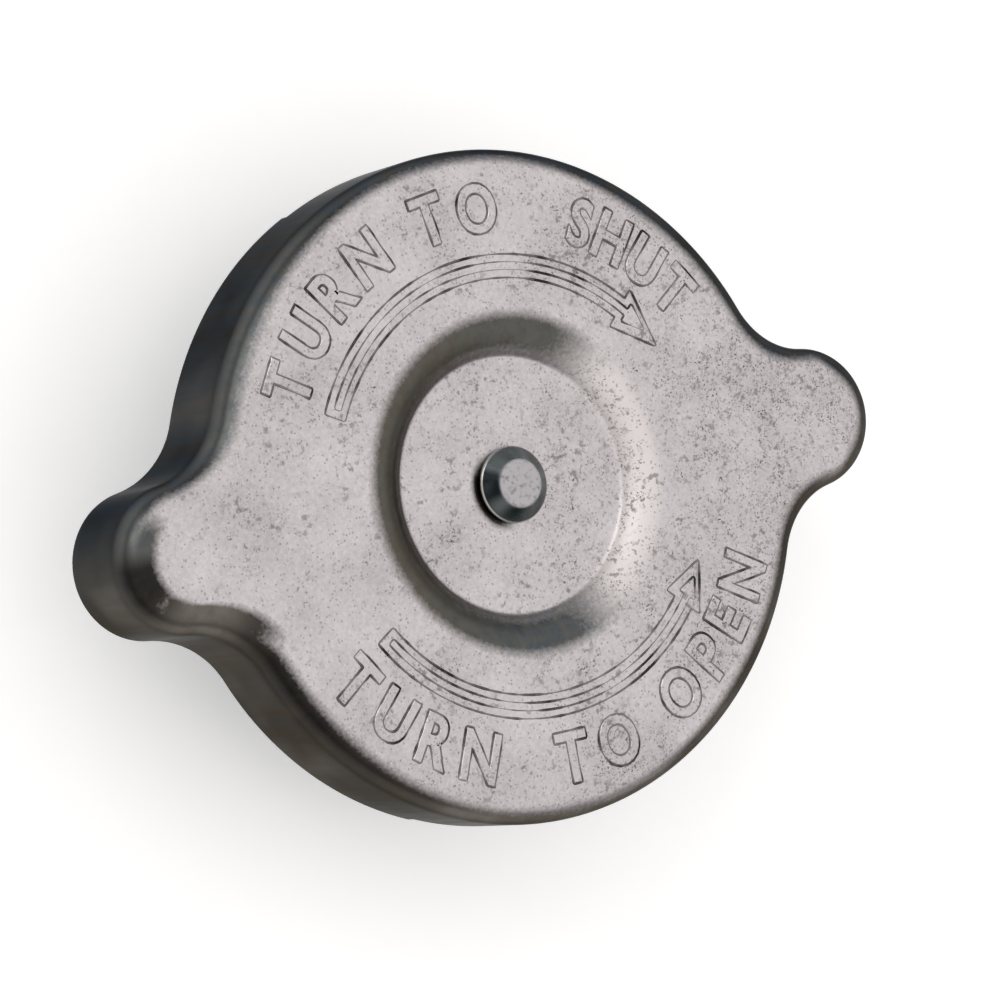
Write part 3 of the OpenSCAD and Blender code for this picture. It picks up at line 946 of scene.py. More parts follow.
@dataclass
class Shell:
    """The stamped shell: dished top, two ears, skirt and two folded lugs."""

    cap_r: float = 28.0
    ear_x: float = 31.0
    ear_r: float = 6.1
    neck_r: float = 7.6
    sheet: float = 0.9
    bend: float = 2.2
    floor_r: float = 10.7
    floor_z: float = 19.95
    dish_bend: float = 3.9
    # Radius of the hollow corner between the dish's floor and its wall
    dish_foot: float = 0.8
    hole_r: float = 2.25
    top_z: float = 21.95
    skirt_z: float = 12.35
    lug_reach: float = 3.6
    lug_angle: float = 50.0
    lug_fold: float = 1.05
    # How far the plain face lies below the top of the relief on it
    relief_room: float = 0.2
    # Rounding of the sheet's cut edges, and how far above the rim the plain skirt's straight ends
    edge_round: float = 0.1
    rim_gap: float = 0.08
    # How far out the dust and painted shadow beside the rivet lie
    dust_shadow_r: float = 4.1
    # Spacing of the stations, radii of the floor's rows of points, and rows on the other stretches
    step: float = 0.45
    floor_rows: tuple[float, ...] = (3.2, 3.5, 3.8, 4.1, 5.5, 8.0, 9.6)
    foot_rows: int = 12
    wall_rows: int = 18
    flat_rows: int = 22
    bend_rows: int = 14
    skirt_rows: int = 8
    fold_rows: int = 10
    sharp_deg: float = 40.0

    @property
    def face_z(self) -> float:
        """Level of the plain top face."""
        return self.top_z - self.relief_room

    def plan(self) -> list[Station]:
        """Walks once round the outline.

        Returns:
            The stations, counter-clockwise from the tip of the right ear.
        """
        body = self.cap_r + self.neck_r
        tip = self.ear_r + self.neck_r
        corner_x = (self.ear_x**2 + body**2 - tip**2) / (2 * self.ear_x)
        corner_y = math.sqrt(body**2 - corner_x**2)
        on_body = math.degrees(math.atan2(corner_y, corner_x))
        on_ear = math.degrees(math.atan2(corner_y, corner_x - self.ear_x))
        low_lug = 90 - self.lug_angle / 2
        high_lug = 90 + self.lug_angle / 2
        # Centre, radius, first and last angle, 1 for a bulge or -1 for a hollow, and whether it has a lug
        arcs = (
            ((self.ear_x, 0), self.ear_r, 0, on_ear, 1, False),
            ((corner_x, corner_y), self.neck_r, on_ear + 180, on_body + 180, -1, False),
            ((0, 0), self.cap_r, on_body, low_lug, 1, False),
            ((0, 0), self.cap_r, low_lug, high_lug, 1, True),
            ((0, 0), self.cap_r, high_lug, 180 - on_body, 1, False),
            ((-corner_x, corner_y), self.neck_r, -on_body, -on_ear, -1, False),
            ((-self.ear_x, 0), self.ear_r, 180 - on_ear, 180, 1, False),
        )
        half: list[Station] = []
        for centre, radius, start, end, bulge, lug in arcs:
            count = max(3, round(abs(math.radians(end - start)) * radius / self.step))
            # Each end of a lug has one station with the lug and one without
            last = end in (low_lug, high_lug)
            for k in range(count + last):
                way = polar(1.0, math.radians(start + (end - start) * k / count))
                spot = (centre[0] + radius * way[0], centre[1] + radius * way[1])
                half.append(Station(spot, (way[0] * bulge, way[1] * bulge), lug))
        return half + [Station((-s.spot[0], -s.spot[1]), (-s.out[0], -s.out[1]), s.lug) for s in half]

    def dish(self, depth: float) -> tuple[Loop, float]:
        """Section of the dished centre, on the top side or on the underside.

        Args:
            depth: distance below the top side.

        Returns:
            Points from the rivet hole out to the flat, and the radius where the flat starts.
        """
        arc_z = self.face_z - self.dish_bend
        arc_r = self.floor_r + math.sqrt(self.dish_bend**2 - (self.floor_z - arc_z) ** 2)
        radius = self.dish_bend - depth
        foot = self.dish_foot + depth
        foot_z = self.floor_z + self.dish_foot
        low = math.asin((foot_z - arc_z) / (radius + foot))
        foot_r = arc_r - (radius + foot) * math.cos(low)
        section = [(r, self.floor_z - depth) for r in (self.hole_r, *self.floor_rows)]
        for k in range(self.foot_rows):
            angle = (math.pi / 2 - low) * k / self.foot_rows
            section.append((foot_r + foot * math.sin(angle), foot_z - foot * math.cos(angle)))
        for k in range(self.wall_rows + 1):
            angle = low + (math.pi / 2 - low) * k / self.wall_rows
            section.append((arc_r - radius * math.cos(angle), arc_z + radius * math.sin(angle)))
        return section, arc_r

    def left_tip_dark(self, station: Station) -> float:
        """Darkening of the left ear's tip and of the corner below it, beyond their bend, from 0 to 1."""
        left = -station.spot[0]
        return max(ramp(left, 33.0, 36.5), ramp(left, 22.0, 26.0) * ramp(-station.out[1], 0.45, 0.8))

    def top_side(self, station: Station, depth: float) -> list[tuple]:
        """Points of the dish and the flat at one station, from the rivet hole out.

        Args:
            station: place on the outline.
            depth: distance below the outer side.

        Returns:
            Each point with its shell values.
        """
        section, flat_r = self.dish(depth)
        edge = station.inward(self.bend)
        reach = math.hypot(*edge)
        way = (edge[0] / reach, edge[1] / reach)
        floor = self.floor_z - depth
        # The right of the dish kept its satin skin and gets painted light, the rest of its wall is burnished
        # and darkened with painted shade
        satin = ramp(way[0] - (0.2 if way[1] > 0 else 0.1) * way[1], 0.2, 0.8)
        tint = 0.25 + 0.9 * max(0.0, -way[0]) + 0.35 * way[1]
        # Oily dust and a painted shadow lie against the left of the rivet's head
        dust_shadow_side = ramp(-0.95 * way[0] - 0.3 * way[1], 0.2, 0.85)
        rows: list[tuple] = []
        for r, z in section:
            share = (z - floor) / (self.face_z - self.floor_z)
            wall = ramp(z, floor + 0.04, floor + 0.16) * ramp(flat_r + 0.9 - r, 0.0, 1.6) * (1 - satin)
            wall *= 0.6 + 0.4 * ramp(share, 0.2, 0.75)
            pale = satin * ramp(z, floor, floor + 0.3) * ramp(flat_r + 0.4 - r, 0.0, 1.6)
            dust = dust_shadow_side * ramp(self.dust_shadow_r - r, 0.0, 0.7)
            dished = (1 - dust) * (1 - 0.4 * ramp(share, 0.3, 0.9))
            rows.append((way[0] * r, way[1] * r, z, max(wall, dust), 0.0, tint, dished, pale))
        left_tip_dark = self.left_tip_dark(station)
        for k in range(1, self.flat_rows):
            share = k / self.flat_rows
            r = flat_r + (reach - flat_r) * share
            wall = ramp(flat_r + 0.9 - r, 0.0, 1.6) * (1 - satin)
            tip_dark = left_tip_dark * ramp(1.2 - (reach - r), 0.0, 1.2)
            dished = 0.6 - 0.6 * ramp(share, 0.2, 0.5)
            spot = (way[0] * r, way[1] * r, self.face_z - depth)
            rows.append((*spot, max(wall, tip_dark), 0.0, tint, dished, 0.0))
        return rows

    def outer_side(self, station: Station, depth: float) -> list[tuple]:
        """Points of the bend, the skirt and the rim or lug at one station, from the flat down.

        Args:
            station: place on the outline.
            depth: distance below the outer side.

        Returns:
            Each point with its shell values.
        """
        nx, ny = station.out
        hue = 0.45 - 0.5 * ny
        worn_and_painted = (1.0, 1.0, hue, 0.0, 0.0)
        # Painted shade is strongest on the left-hand bends, and the right-hand bends turn dark sooner
        painted_side_tone = ramp(-nx, 0.25, 0.9)
        right = ramp(nx, 0.1, 0.7)
        left_tip_dark = self.left_tip_dark(station)
        # The far left bend gets painted light
        lit = 0.6 * ramp(-nx, 0.3, 0.8) * ramp(ny, -0.05, 0.35)
        bend = self.bend - depth
        top = self.face_z - self.bend
        rows: list[tuple] = []
        for k in range(self.bend_rows + 1):
            share = k / self.bend_rows
            angle = math.pi / 2 * share
            drawn = ramp(share, 0.12 * (1 - painted_side_tone) - 0.25 * right, 0.6 - 0.15 * painted_side_tone - 0.3 * right)
            unshaded = 1.0 - 0.95 * painted_side_tone * ramp(share, 1.35, 0.55)
            spot = (*station.inward(self.bend - bend * math.sin(angle)), top + bend * math.cos(angle))
            rows.append((*spot, max(drawn, left_tip_dark), unshaded, hue, lit * ramp(share, 1.1, 0.5), 0.0))
        # A painted sheen makes the sheet paler where a lug is folded, and fades towards the lug's ends
        from_middle = abs(math.degrees(math.asin(max(-1.0, min(1.0, nx)))))
        folded = ramp(self.lug_angle / 2 - from_middle, 0.0, 14.0) if station.lug else 0.0
        fold_z = self.skirt_z + self.lug_fold
        quarter = self.bend * math.pi / 2
        for k in range(1, self.skirt_rows + 1):
            drop = (top - fold_z) * k / self.skirt_rows
            unshaded = 1.0 - 0.95 * painted_side_tone * ramp(1 + drop / quarter, 1.35, 0.55)
            painted_fold_sheen = ramp(k / self.skirt_rows, 0.375, 1.0) * folded
            tan = hue + (0.95 - hue) * painted_fold_sheen
            rows.append((*station.inward(depth), top - drop, 1.0 - 0.25 * painted_fold_sheen, unshaded, tan, 0.0, 0.0))
        fold = self.lug_fold - depth
        painted_fold_sheen = (1.0 - 0.25 * folded, 1.0, hue + (0.95 - hue) * folded, 0.0, 0.0)
        straight = self.lug_fold - self.rim_gap
        for k in range(1, self.fold_rows + 1):
            share = k / self.fold_rows
            angle = math.pi / 2 * share
            if station.lug:
                spot = station.inward(self.lug_fold - fold * math.cos(angle))
                rows.append((*spot, fold_z - fold * math.sin(angle), *painted_fold_sheen))
            else:
                rows.append((*station.inward(depth), fold_z - straight * share, *worn_and_painted))
        # Two last points round the sheet's cut edge
        rounding = self.edge_round if depth == 0 else -self.edge_round
        if station.lug:
            z = self.skirt_z + depth
            rows.append((*station.inward(self.lug_reach - self.edge_round), z, *worn_and_painted))
            rows.append((*station.inward(self.lug_reach), z + rounding, *worn_and_painted))
        else:
            end = depth + rounding
            rows.append((*station.inward(end), self.skirt_z, *worn_and_painted))
            rows.append((*station.inward((end + self.sheet / 2) / 2), self.skirt_z, *worn_and_painted))
        return rows

    def build(self, palette: Palette) -> None:
        """Builds the shell as one closed sheet.

        Args:
            palette: the finishes.
        """
        columns = []
        for station in self.plan():
            over, under = (self.top_side(station, depth) + self.outer_side(station, depth)
                           for depth in (0.0, self.sheet))
            columns.append(over + under[::-1])
        rows = [row for column in columns for row in column]
        values = {name: [row[3 + k] for row in rows] for k, name in enumerate(SHELL_VALUES)}
        faces = ring_faces(len(columns), len(columns[0]))
        piece = mesh_object("stamped_shell", [row[:3] for row in rows], faces, values)
        palette.dress(smooth(piece, self.sharp_deg), Slot.TINPLATE, Body.SHELL, "cap_shell")


@dataclass
class Arrow:
    """One pressed arrow that runs round the dish and ends in a straight-sided head."""

    tail_deg: float
    neck_deg: float
    tip_deg: float
    middle_r: float = 18.2
    centre_y: float = -0.2
    half_width: float = 0.98
    head_half: float = 1.95
    corner_r: float = 0.15
    steps: int = 70

    def loop(self, slope: float) -> Loop:
        """Outline of the arrow, with the solid on its left.

        Args:
            slope: distance from the arrow's foot, in from its edge.

        Returns:
            The loop, with as many points for any slope.
        """
        way = math.copysign(1.0, self.neck_deg - self.tail_deg)
        length = math.radians(abs(self.tip_deg - self.neck_deg)) * self.middle_r
        side = math.hypot(length, self.head_half)
        pull = slope / self.middle_r * way
        tail = math.radians(self.tail_deg) + pull
        neck = math.radians(self.neck_deg) + pull
        tip = math.radians(self.tip_deg) - pull * side / self.head_half
        half = self.half_width - slope
        head = self.head_half * (length - slope) / length - slope * side / length
        angles = [tail + (neck - tail) * k / self.steps for k in range(self.steps + 1)]
        walk = [polar(self.middle_r + half, angle) for angle in angles]
        corners = ((self.middle_r + head, neck), (self.middle_r, tip), (self.middle_r - head, neck))
        walk += [polar(radius, angle) for radius, angle in corners]
        walk += [polar(self.middle_r - half, angle) for angle in angles[::-1]]
        count = len(angles)
        sharp = (0, count, count + 1, count + 2, len(walk) - 1)
        rounded: Loop = []
        for k, spot in enumerate(walk):
            trio = [walk[k - 1], spot, walk[(k + 1) % len(walk)]]
            rounded += fillet(trio, self.corner_r, closed=False)[1:-1] if k in sharp else [spot]
        rounded = [(x, y + self.centre_y) for x, y in rounded]
        return rounded if signed_area(rounded) > 0 else rounded[::-1]


@dataclass
class Word:
    """One raised word that follows the cap's edge."""

    text: str
    first_deg: float
    last_deg: float
    outer_r: float
    turn: Turn
    inner_r: float = 20.7
    # How much the strokes are fattened on each side
    weight: float = 0.2
    # Width of a letter against the typeface's own
    narrow: float = 0.84
    # Width of the gap between words, in letter heights
    gap: float = 0.3
    # Steps of a letter's curves
    curve_steps: int = 5

    def glyph(self, letter: str) -> list[Loop]:
        """Outlines of one letter, upright, one unit high and centred on its width.

        Args:
            letter: the letter.

        Returns:
            Its loops, each with the solid on its left.
        """
        curve = bpy.data.curves.new("letter", "FONT")
        curve.body = letter
        curve.fill_mode = "NONE"
        curve.resolution_u = self.curve_steps
        carrier = place_object("letter", curve)
        mesh = evaluated_mesh(carrier)
        bpy.data.objects.remove(carrier)
        bpy.data.curves.remove(curve)
        beside: dict[int, list[int]] = {}
        for edge in mesh.edges:
            a, b = edge.vertices
            beside.setdefault(a, []).append(b)
            beside.setdefault(b, []).append(a)
        spots = [(v.co.x, v.co.y) for v in mesh.vertices]
        bpy.data.meshes.remove(mesh)
        loops: list[Loop] = []
        left = set(beside)
        while left:
            walk = [min(left)]
            left.discard(walk[0])
            while ahead := [k for k in beside[walk[-1]] if k in left]:
                walk.append(ahead[0])
                left.discard(ahead[0])
            loops.append([spots[k] for k in walk])
        xs, ys = zip(*(spot for loop in loops for spot in loop))
        size = max(ys) - min(ys)
        middle = (min(xs) + max(xs)) / 2
        placed = []
        for loop in loops:
            scaled = [((x - middle) / size * self.narrow, (y - min(ys)) / size) for x, y in loop]
            hole = any(is_inside(loop[0], other) for other in loops if other is not loop)
            turned = signed_area(scaled) < 0
            placed.append(scaled[::-1] if turned != hole else scaled)
        return placed

    def shapes(self) -> list[list[Loop]]:
        """Sets the letters along the cap's edge with equal gaps.

        Returns:
            Every letter's loops.
        """
        tall = self.outer_r - self.inner_r - 2 * self.weight
        middle_r = (self.inner_r + self.outer_r) / 2
        glyphs = [self.glyph(letter) if letter != " " else [] for letter in self.text]
        widths = [2 * max(x for loop in loops for x, _ in loop) * tall + 2 * self.weight if loops
                  else self.gap * tall for loops in glyphs]
        span = math.radians(abs(self.last_deg - self.first_deg)) * middle_r
        space = (span - sum(widths)) / (len(widths) - 1)
        upright = self.turn is Turn.CLOCKWISE
        foot_r = self.inner_r + self.weight if upright else self.outer_r - self.weight
        along = 0.0
        letters = []
        for loops, width in zip(glyphs, widths):
            angle = math.radians(self.first_deg) + self.turn.value * (along + width / 2) / middle_r
            along += width + space
            out = Vector(polar(1.0, angle))
            up = out if upright else -out
            right = Vector((up.y, -up.x))
            placed = [[tuple(out * foot_r + (right * x + up * y) * tall) for x, y in loop] for loop in loops]
            if placed:
                letters.append([inset(loop, -self.weight) for loop in placed])
        return letters


@dataclass
class Relief:
    """The arrows and plain words pressed up from the top face, with dust and painted shade in their creases.
    """

    face_z: float
    height: float = 0.1
    arrow_slope: float = 0.66
    letter_slope: float = 0.12
    line_width: float = 0.17
    # How far the lines along an arrow's top edge are let in
    line_sink: float = 0.035

    def build(self, palette: Palette) -> None:
        """Builds the arrows, the words and the crease lines.

        Args:
            palette: the finishes.
        """
        arrows = (Arrow(152.0, 44.5, 29.2), Arrow(210.9, 316.5, 329.4))
        words = (
            Word("TURN TO", 153.0, 82.5, 25.0, Turn.CLOCKWISE),
            Word("SHUT", 64.5, 31.0, 25.0, Turn.CLOCKWISE),
            Word("TURN", 209.5, 250.5, 25.1, Turn.COUNTER_CLOCKWISE),
            Word("TO OPEN", 264.5, 333.5, 25.1, Turn.COUNTER_CLOCKWISE),
        )
        bands = [([arrow.loop(0.0)], [arrow.loop(self.arrow_slope)]) for arrow in arrows]
        letters = [(loops, [inset(loop, self.letter_slope) for loop in loops])
                   for word in words for loops in word.shapes()]
        for name, shapes in (("arrow_relief", bands), ("word_relief", letters)):
            palette.dress(relief_object(name, shapes, self.face_z, self.height), Slot.TINPLATE, Body.SHELL)
        lines = [(loop, self.face_z) for loops, _ in bands + letters for loop in loops]
        lines += [(loop, self.face_z + self.height - self.line_sink) for _, tops in bands for loop in tops]
        points: list = []
        edges: list = []
        for loop, level in lines:
            first = len(points)
            points += [Vector((x, y, level)) * MM for x, y in loop]
            edges += [(first + k, first + (k + 1) % len(loop)) for k in range(len(loop))]
        paths = bpy.data.meshes.new("crease_paths")
        paths.from_pydata(points, edges, [])
        values = {"Width": self.line_width * MM, "Break": CreaseDustAndShade.break_mm * MM, "Material": palette.crease_dust_and_shade}
        palette.dress(bake_nodes("crease_lines", line_tree(), values, paths), Slot.TINPLATE, Body.SHELL)


@dataclass
class Rivet:
    """The rivet that everything hangs from, with its flat-topped head and closed end, and its washer."""

    shank_r: float = 2.2
    head_r: float = 3.2
    head_z: float = 19.95
    head_h: float = 1.5
    rim_h: float = 0.5
    flat_r: float = 2.05
    foot_r: float = 3.1
    foot_h: float = 1.0
    washer_z: float = 17.15
    corner_r: float = 0.14
    # Longest edge of the section, so that its values change smoothly
    longest: float = 0.12
    # How far inside and outside the flat's edge its skin gives way to the drawn side
    skin_in: float = 0.22
    skin_out: float = 0.08
    # Reach of the painted highlight line on the rim's worn edge, and the width over which it fades
    highlight_reach: float = 0.16
    highlight_fade: float = 0.1
    segments: int = 128

    def build(self, palette: Palette) -> None:
        """Builds the rivet and its washer.

        Args:
            palette: the finishes.
        """
        foot = self.washer_z - self.foot_h
        top = self.head_z + self.head_h
        rim = self.head_z + self.rim_h
        section = [
            (0.0, foot), (self.shank_r, foot), (self.foot_r, foot + self.foot_h / 2),
            (self.foot_r, self.washer_z), (self.shank_r, self.washer_z), (self.shank_r, self.head_z),
            (self.head_r, self.head_z), (self.head_r, rim), (self.flat_r, top), (0.0, top),
        ]
        rounded = densify(fillet(section, self.corner_r, closed=False), self.longest)
        # The rim's worn edge gets a painted highlight, and all but the flat is drawn
        low = self.flat_r - self.skin_in
        high = self.flat_r + self.skin_out
        near = [self.highlight_reach - math.hypot(r - self.head_r, z - rim) for r, z in rounded]
        values = {
            "drawn": [ramp(r, low, high) if z > rim else 1.0 for r, z in rounded],
            "edge": [ramp(inside, 0.0, self.highlight_fade) for inside in near],
        }
        piece = revolve("rivet", rounded, closed=False, segments=self.segments, values=values)
        palette.dress(piece, Slot.RIVET_STEEL, Body.SHELL, "center_rivet")
        palette.dress_copy("rivet_washer", "swivel_washer", Slot.PLATED_STEEL, Body.SHELL)


@dataclass(frozen=True)
class Coil:
    """A wire spring with close end turns."""

    radius: float
    wire: float
    turns: float
    base: float
    length: float
    # Points along the wire
    steps: int

    def build(self, name: str, tree: Tree, material: Material) -> Piece:
        """Winds the spring.

        Args:
            name: the piece's name.
            tree: the coil's node tree.
            material: its material.

        Returns:
            The spring.
        """
        sizes = {"Radius": self.radius, "Wire": self.wire, "Length": self.length, "Base": self.base}
        values = {key: size * MM for key, size in sizes.items()}
        values |= {"Turns": self.turns, "Steps": self.steps, "Material": material}
        return bake_nodes(name, tree, values)


@dataclass
class Carrier:
    """What turns on the rivet: spring disc, neck gasket, cage and main spring."""

    hole_r: float = 2.25
    cage_r: float = 16.1
    disc_r: float = 24.1
    disc_t: float = 0.4
    disc_z: float = 19.0
    rim_z: float = 16.4
    lip_z: float = 15.2
    gasket_r: float = 23.65
    gasket_w: float = 3.8
    gasket_t: float = 1.4
    # Room between the gasket's inner edge and the bend of the disc
    gasket_room: float = 0.05
    disc_round: float = 0.15
    gasket_round: float = 0.12
    spring: Coil = Coil(radius=11.4, wire=1.6, turns=5.0, base=4.2, length=13.6, steps=300)
    lift: float = 3.0

    def build(self, palette: Palette, tree: Tree) -> None:
        """Builds the pieces.

        Args:
            palette: the finishes.
            tree: the coil's node tree.
        """
        inner = self.gasket_r - self.gasket_w
        rim_r = inner - self.gasket_room
        under = self.rim_z - self.disc_t
        lip_r = self.disc_r - self.disc_t
        disc = [
            (self.hole_r, self.disc_z), (self.cage_r, self.disc_z), (rim_r, self.rim_z),
            (self.disc_r, self.rim_z), (self.disc_r, self.lip_z), (lip_r, self.lip_z), (lip_r, under),
            (rim_r - self.disc_t, under), (self.cage_r - self.disc_t, self.disc_z - self.disc_t),
            (self.hole_r, self.disc_z - self.disc_t),
        ]
        piece = revolve("spring_disc_sheet", fillet(disc, self.disc_round))
        palette.dress(piece, Slot.SPRING_STEEL, Body.CARRIER, "spring_disc")
        low = under - self.gasket_t
        ring = [(inner, low), (self.gasket_r, low), (self.gasket_r, under), (inner, under)]
        piece = revolve("neck_seal", fillet(ring, self.gasket_round))
        palette.dress(piece, Slot.SEAL_RUBBER, Body.CARRIER, "neck_gasket")
        palette.dress_copy("valve_cage", "spring_cage", Slot.PLATED_STEEL, Body.CARRIER)
        piece = self.spring.build("main_spring", tree, palette.slots[Slot.SPRING_STEEL])
        palette.dress(piece, Slot.SPRING_STEEL, Body.CARRIER, "pressure_spring")
        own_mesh(piece)


@dataclass
class PressureValve:
    """What lifts against the main spring: cup, backing plate, seal, retainer and small spring."""

    seal_r: float = 20.0
    seal_t: float = 2.6
    lip_z: float = 1.3
    lip_r: float = 5.2
    step_r: float = 12.85
    plate_r: float = 18.6
    plate_t: float = 0.8
    seal_round: float = 0.4
    seal_steps: int = 6
    plate_round: float = 0.15
    segments: int = 200
    spring: Coil = Coil(radius=2.025, wire=0.45, turns=4.0, base=4.2, length=4.8, steps=200)
    drop: float = 2.0

    def build(self, palette: Palette, tree: Tree) -> None:
        """Builds the pieces.

        Args:
            palette: the finishes.
            tree: the coil's node tree.
        """
        seal = [(self.lip_r, self.lip_z), (self.step_r, self.lip_z), (self.step_r, 0.0), (self.seal_r, 0.0),
                (self.seal_r, self.seal_t), (self.lip_r, self.seal_t)]
        piece = revolve("main_seal", fillet(seal, self.seal_round, self.seal_steps), segments=self.segments)
        palette.dress(piece, Slot.SEAL_RUBBER, Body.PRESSURE_VALVE, "pressure_gasket")
        top = self.seal_t + self.plate_t
        plate = [(self.lip_r, self.seal_t), (self.plate_r, self.seal_t),
                 (self.plate_r, top), (self.lip_r, top)]
        piece = revolve("seal_plate", fillet(plate, self.plate_round), segments=self.segments)
        palette.dress(piece, Slot.PLATED_STEEL, Body.PRESSURE_VALVE, "backing_plate")
        for node, name in (("valve_cup", "valve_cup_sheet"), ("gasket_retainer", "seal_retainer")):
            palette.dress_copy(node, name, Slot.PLATED_STEEL, Body.PRESSURE_VALVE)
        piece = self.spring.build("small_spring", tree, palette.slots[Slot.SPRING_STEEL])
        palette.dress(piece, Slot.SPRING_STEEL, Body.PRESSURE_VALVE, "vacuum_spring")
        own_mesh(piece)


@dataclass
class VacuumPoppet:
    """The brass poppet that drops to let coolant back in, and its clip."""

    disc_r: float = 7.4
    disc_z: float = 0.5
    seat_z: float = 1.3
    dimple_r: float = 2.5
    dimple: float = 0.3
    stem_r: float = 1.4
    neck_r: float = 1.05
    clip_z: float = 9.0
    clip_t: float = 0.5
    top_z: float = 10.3
    # Height of the stem's chamfered end
    chamfer: float = 0.35
    corner_r: float = 0.12

    def build(self, palette: Palette) -> None:
        """Builds the pieces.

        Args:
            palette: the finishes.
        """
        groove_top = self.clip_z + self.clip_t
        dimple_z = self.disc_z + self.dimple
        section = [
            (0.0, dimple_z), (self.dimple_r - self.dimple, dimple_z), (self.dimple_r, self.disc_z),
            (self.disc_r, self.disc_z), (self.disc_r, self.seat_z), (self.stem_r, self.seat_z),
            (self.stem_r, self.clip_z), (self.neck_r, self.clip_z), (self.neck_r, groove_top),
            (self.stem_r, groove_top), (self.stem_r, self.top_z - self.chamfer), (self.neck_r, self.top_z),
            (0.0, self.top_z),
        ]
        piece = revolve("vacuum_poppet_disc", fillet(section, self.corner_r, closed=False), closed=False)
        palette.dress(piece, Slot.VALVE_BRASS, Body.VACUUM_POPPET, "vacuum_valve")
        palette.dress_copy("vacuum_clip", "stem_clip", Slot.SPRING_STEEL, Body.VACUUM_POPPET)


# Studio


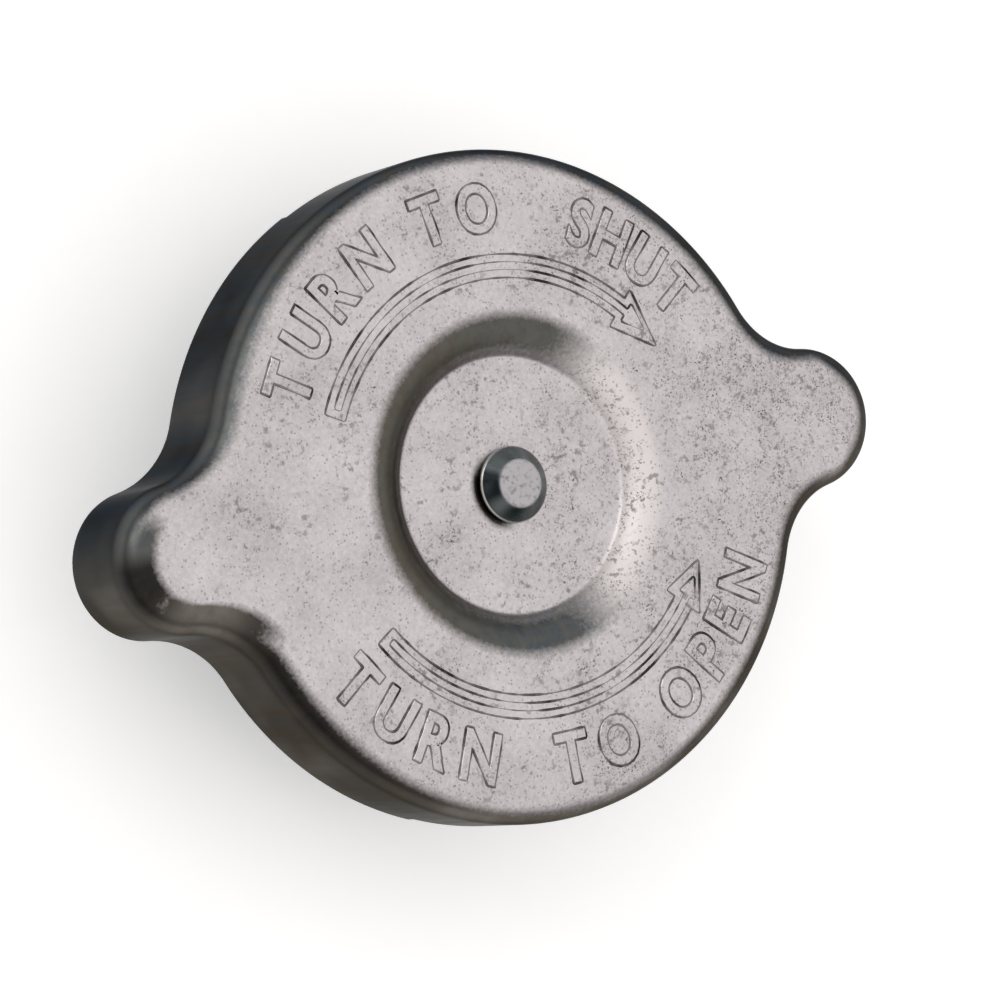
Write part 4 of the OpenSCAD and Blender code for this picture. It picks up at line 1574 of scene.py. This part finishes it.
@dataclass
class Studio:
    """Floor, light and camera at the photograph's viewing angle."""

    # The cap's axis leans this far from the line of sight, towards this direction in the picture
    lean_deg: float = 31.80
    lean_way_deg: float = 9.33
    # Turn of the ears from that direction
    ear_turn_deg: float = 2.94
    # Where the centre of the top face lies in the picture, in pixels of a frame 1000 wide
    centre_px: Point = (523.65, 482.78)
    frame_px: float = 1000.0
    # Distance of the eye in the same pixels, and the size of one at the face
    eye_px: float = 4000.0
    pixel: float = 28.0 / 340.82
    face_z: float = 21.95
    sensor: float = 36.0
    # Nearest distance that the camera sees
    nearest: float = 10.0
    # Share of white that the floor adds to its lit colour
    paper_lift: float = 0.27
    # Radius of the paper, and how high it sweeps up at its edge
    floor_r: float = 4000.0
    floor_rise: float = 560.0
    floor_segments: int = 96
    sweep_steps: int = 12
    paper: str = "#f9f9f9"
    fibre: str = "#f6f6f6"
    # Real paper fibres are far finer, and are drawn coarser than they are to show
    fibre_mm: float = 3.0
    # Glow of the dome near the floor and overhead
    dome_low: str = "#6c6c6c"
    dome_high: str = "#fcfaf9"
    # Direction, distance, side and power of the soft lamp
    lamp_way: tuple[float, float, float] = (-0.5, 0.55, 0.67)
    lamp_far: float = 900.0
    lamp_side: float = 500.0
    lamp_watts: float = 1.0

    def camera(self) -> None:
        """Places the camera."""
        lean = math.radians(self.lean_deg)
        way = polar(1.0, math.radians(self.lean_way_deg))
        turn = math.radians(self.ear_turn_deg)
        up_axis = Vector((math.sin(lean) * way[0], math.sin(lean) * way[1], math.cos(lean)))
        along = Vector((math.cos(lean) * way[0], math.cos(lean) * way[1], -math.sin(lean)))
        across = up_axis.cross(along)
        x_axis = along * math.cos(turn) + across * math.sin(turn)
        y_axis = across * math.cos(turn) - along * math.sin(turn)
        right, up, back = (Vector((x_axis[k], y_axis[k], up_axis[k])) for k in range(3))
        half = self.frame_px / 2
        offset = right * (half - self.centre_px[0]) + up * (self.centre_px[1] - half) + back * self.eye_px
        eye = (Vector((0, 0, self.face_z)) + offset * self.pixel) * MM
        data = bpy.data.cameras.new("studio_camera")
        data.sensor_width = self.sensor
        data.lens = self.sensor * self.eye_px / self.frame_px
        data.clip_start = self.nearest * MM
        camera = place_object("studio_camera", data)
        camera.matrix_world = Matrix.Translation(eye) @ Matrix((right, up, back)).transposed().to_4x4()
        bpy.context.scene.camera = camera

    def floor(self) -> None:
        """Lays the plain pale floor."""
        corners = [(0.0, 0.0), (self.floor_r, 0.0), (self.floor_r, self.floor_rise)]
        sweep = fillet(corners, self.floor_rise, self.sweep_steps, closed=False)
        floor = revolve("floor", sweep, closed=False, segments=self.floor_segments)
        # White paper gives the eye an even matt ground
        material, add, grid = new_material("white_paper_sweep")
        fibre = add("TexNoise", {"Vector": grid, "Scale": 1 / self.fibre_mm})
        # The paper is shown white to the eye and in the metal, and keeps the shadow
        seen = add("LightPath", out="Is Camera Ray")
        rays = seen.node.outputs
        for ray in ("Is Glossy Ray", "Is Transmission Ray"):
            seen = add("Math", (seen, rays[ray]), operation="MAXIMUM")
        close_material(material, {
            "Base Color": add("Mix", {0: fibre, 6: self.paper, 7: self.fibre}, **BLEND),
            "Emission Strength": add("Math", (seen, self.paper_lift), operation="MULTIPLY"),
            "Emission Color": "#ffffff",
            "Roughness": 0.9,
            "Specular IOR Level": 0.1,
        })
        floor.data.materials.append(material)

    def light(self) -> None:
        """Sets the soft dome and the lamp."""
        world = bpy.data.worlds.new("studio_dome")
        world.use_nodes = True
        add = partial(add_node, world.node_tree)
        rise = add("SeparateXYZ", (add("TexCoord", out="Generated"),), "Z")
        # Below the floor the dome is mirrored, which lights the underside once the floor is taken away
        rise = add("Math", (rise,), operation="ABSOLUTE")
        share = add("MapRange", (rise, 0.1, 0.6), interpolation_type="SMOOTHSTEP")
        glow = add("Mix", {0: share, 6: self.dome_low, 7: self.dome_high}, **BLEND)
        feed(world.node_tree.nodes["Background"], {"Color": glow})
        bpy.context.scene.world = world
        data = bpy.data.lights.new("key_softbox", "AREA")
        data.size = self.lamp_side * MM
        data.energy = self.lamp_watts
        way = Vector(self.lamp_way).normalized()
        turn = way.to_track_quat("Z", "Y").to_matrix().to_4x4()
        lamp = place_object("key_softbox", data)
        lamp.matrix_world = Matrix.Translation(way * self.lamp_far * MM) @ turn

    def build(self) -> None:
        """Sets up the whole studio."""
        bpy.context.scene.view_settings.view_transform = "Standard"
        self.camera()
        self.floor()
        self.light()
        LOG.info("studio: floor, camera and lights")


def main() -> None:
    """Builds every sub-assembly around the frame."""
    logging.basicConfig(level=logging.INFO, format="%(name)s: %(message)s")
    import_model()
    palette = Palette.mix()
    coil = coil_tree()
    shell = Shell()
    shell.build(palette)
    Relief(shell.face_z).build(palette)
    Rivet().build(palette)
    Carrier().build(palette, coil)
    PressureValve().build(palette, coil)
    VacuumPoppet().build(palette)
    Studio().build()


if __name__ == "__main__":
    main()
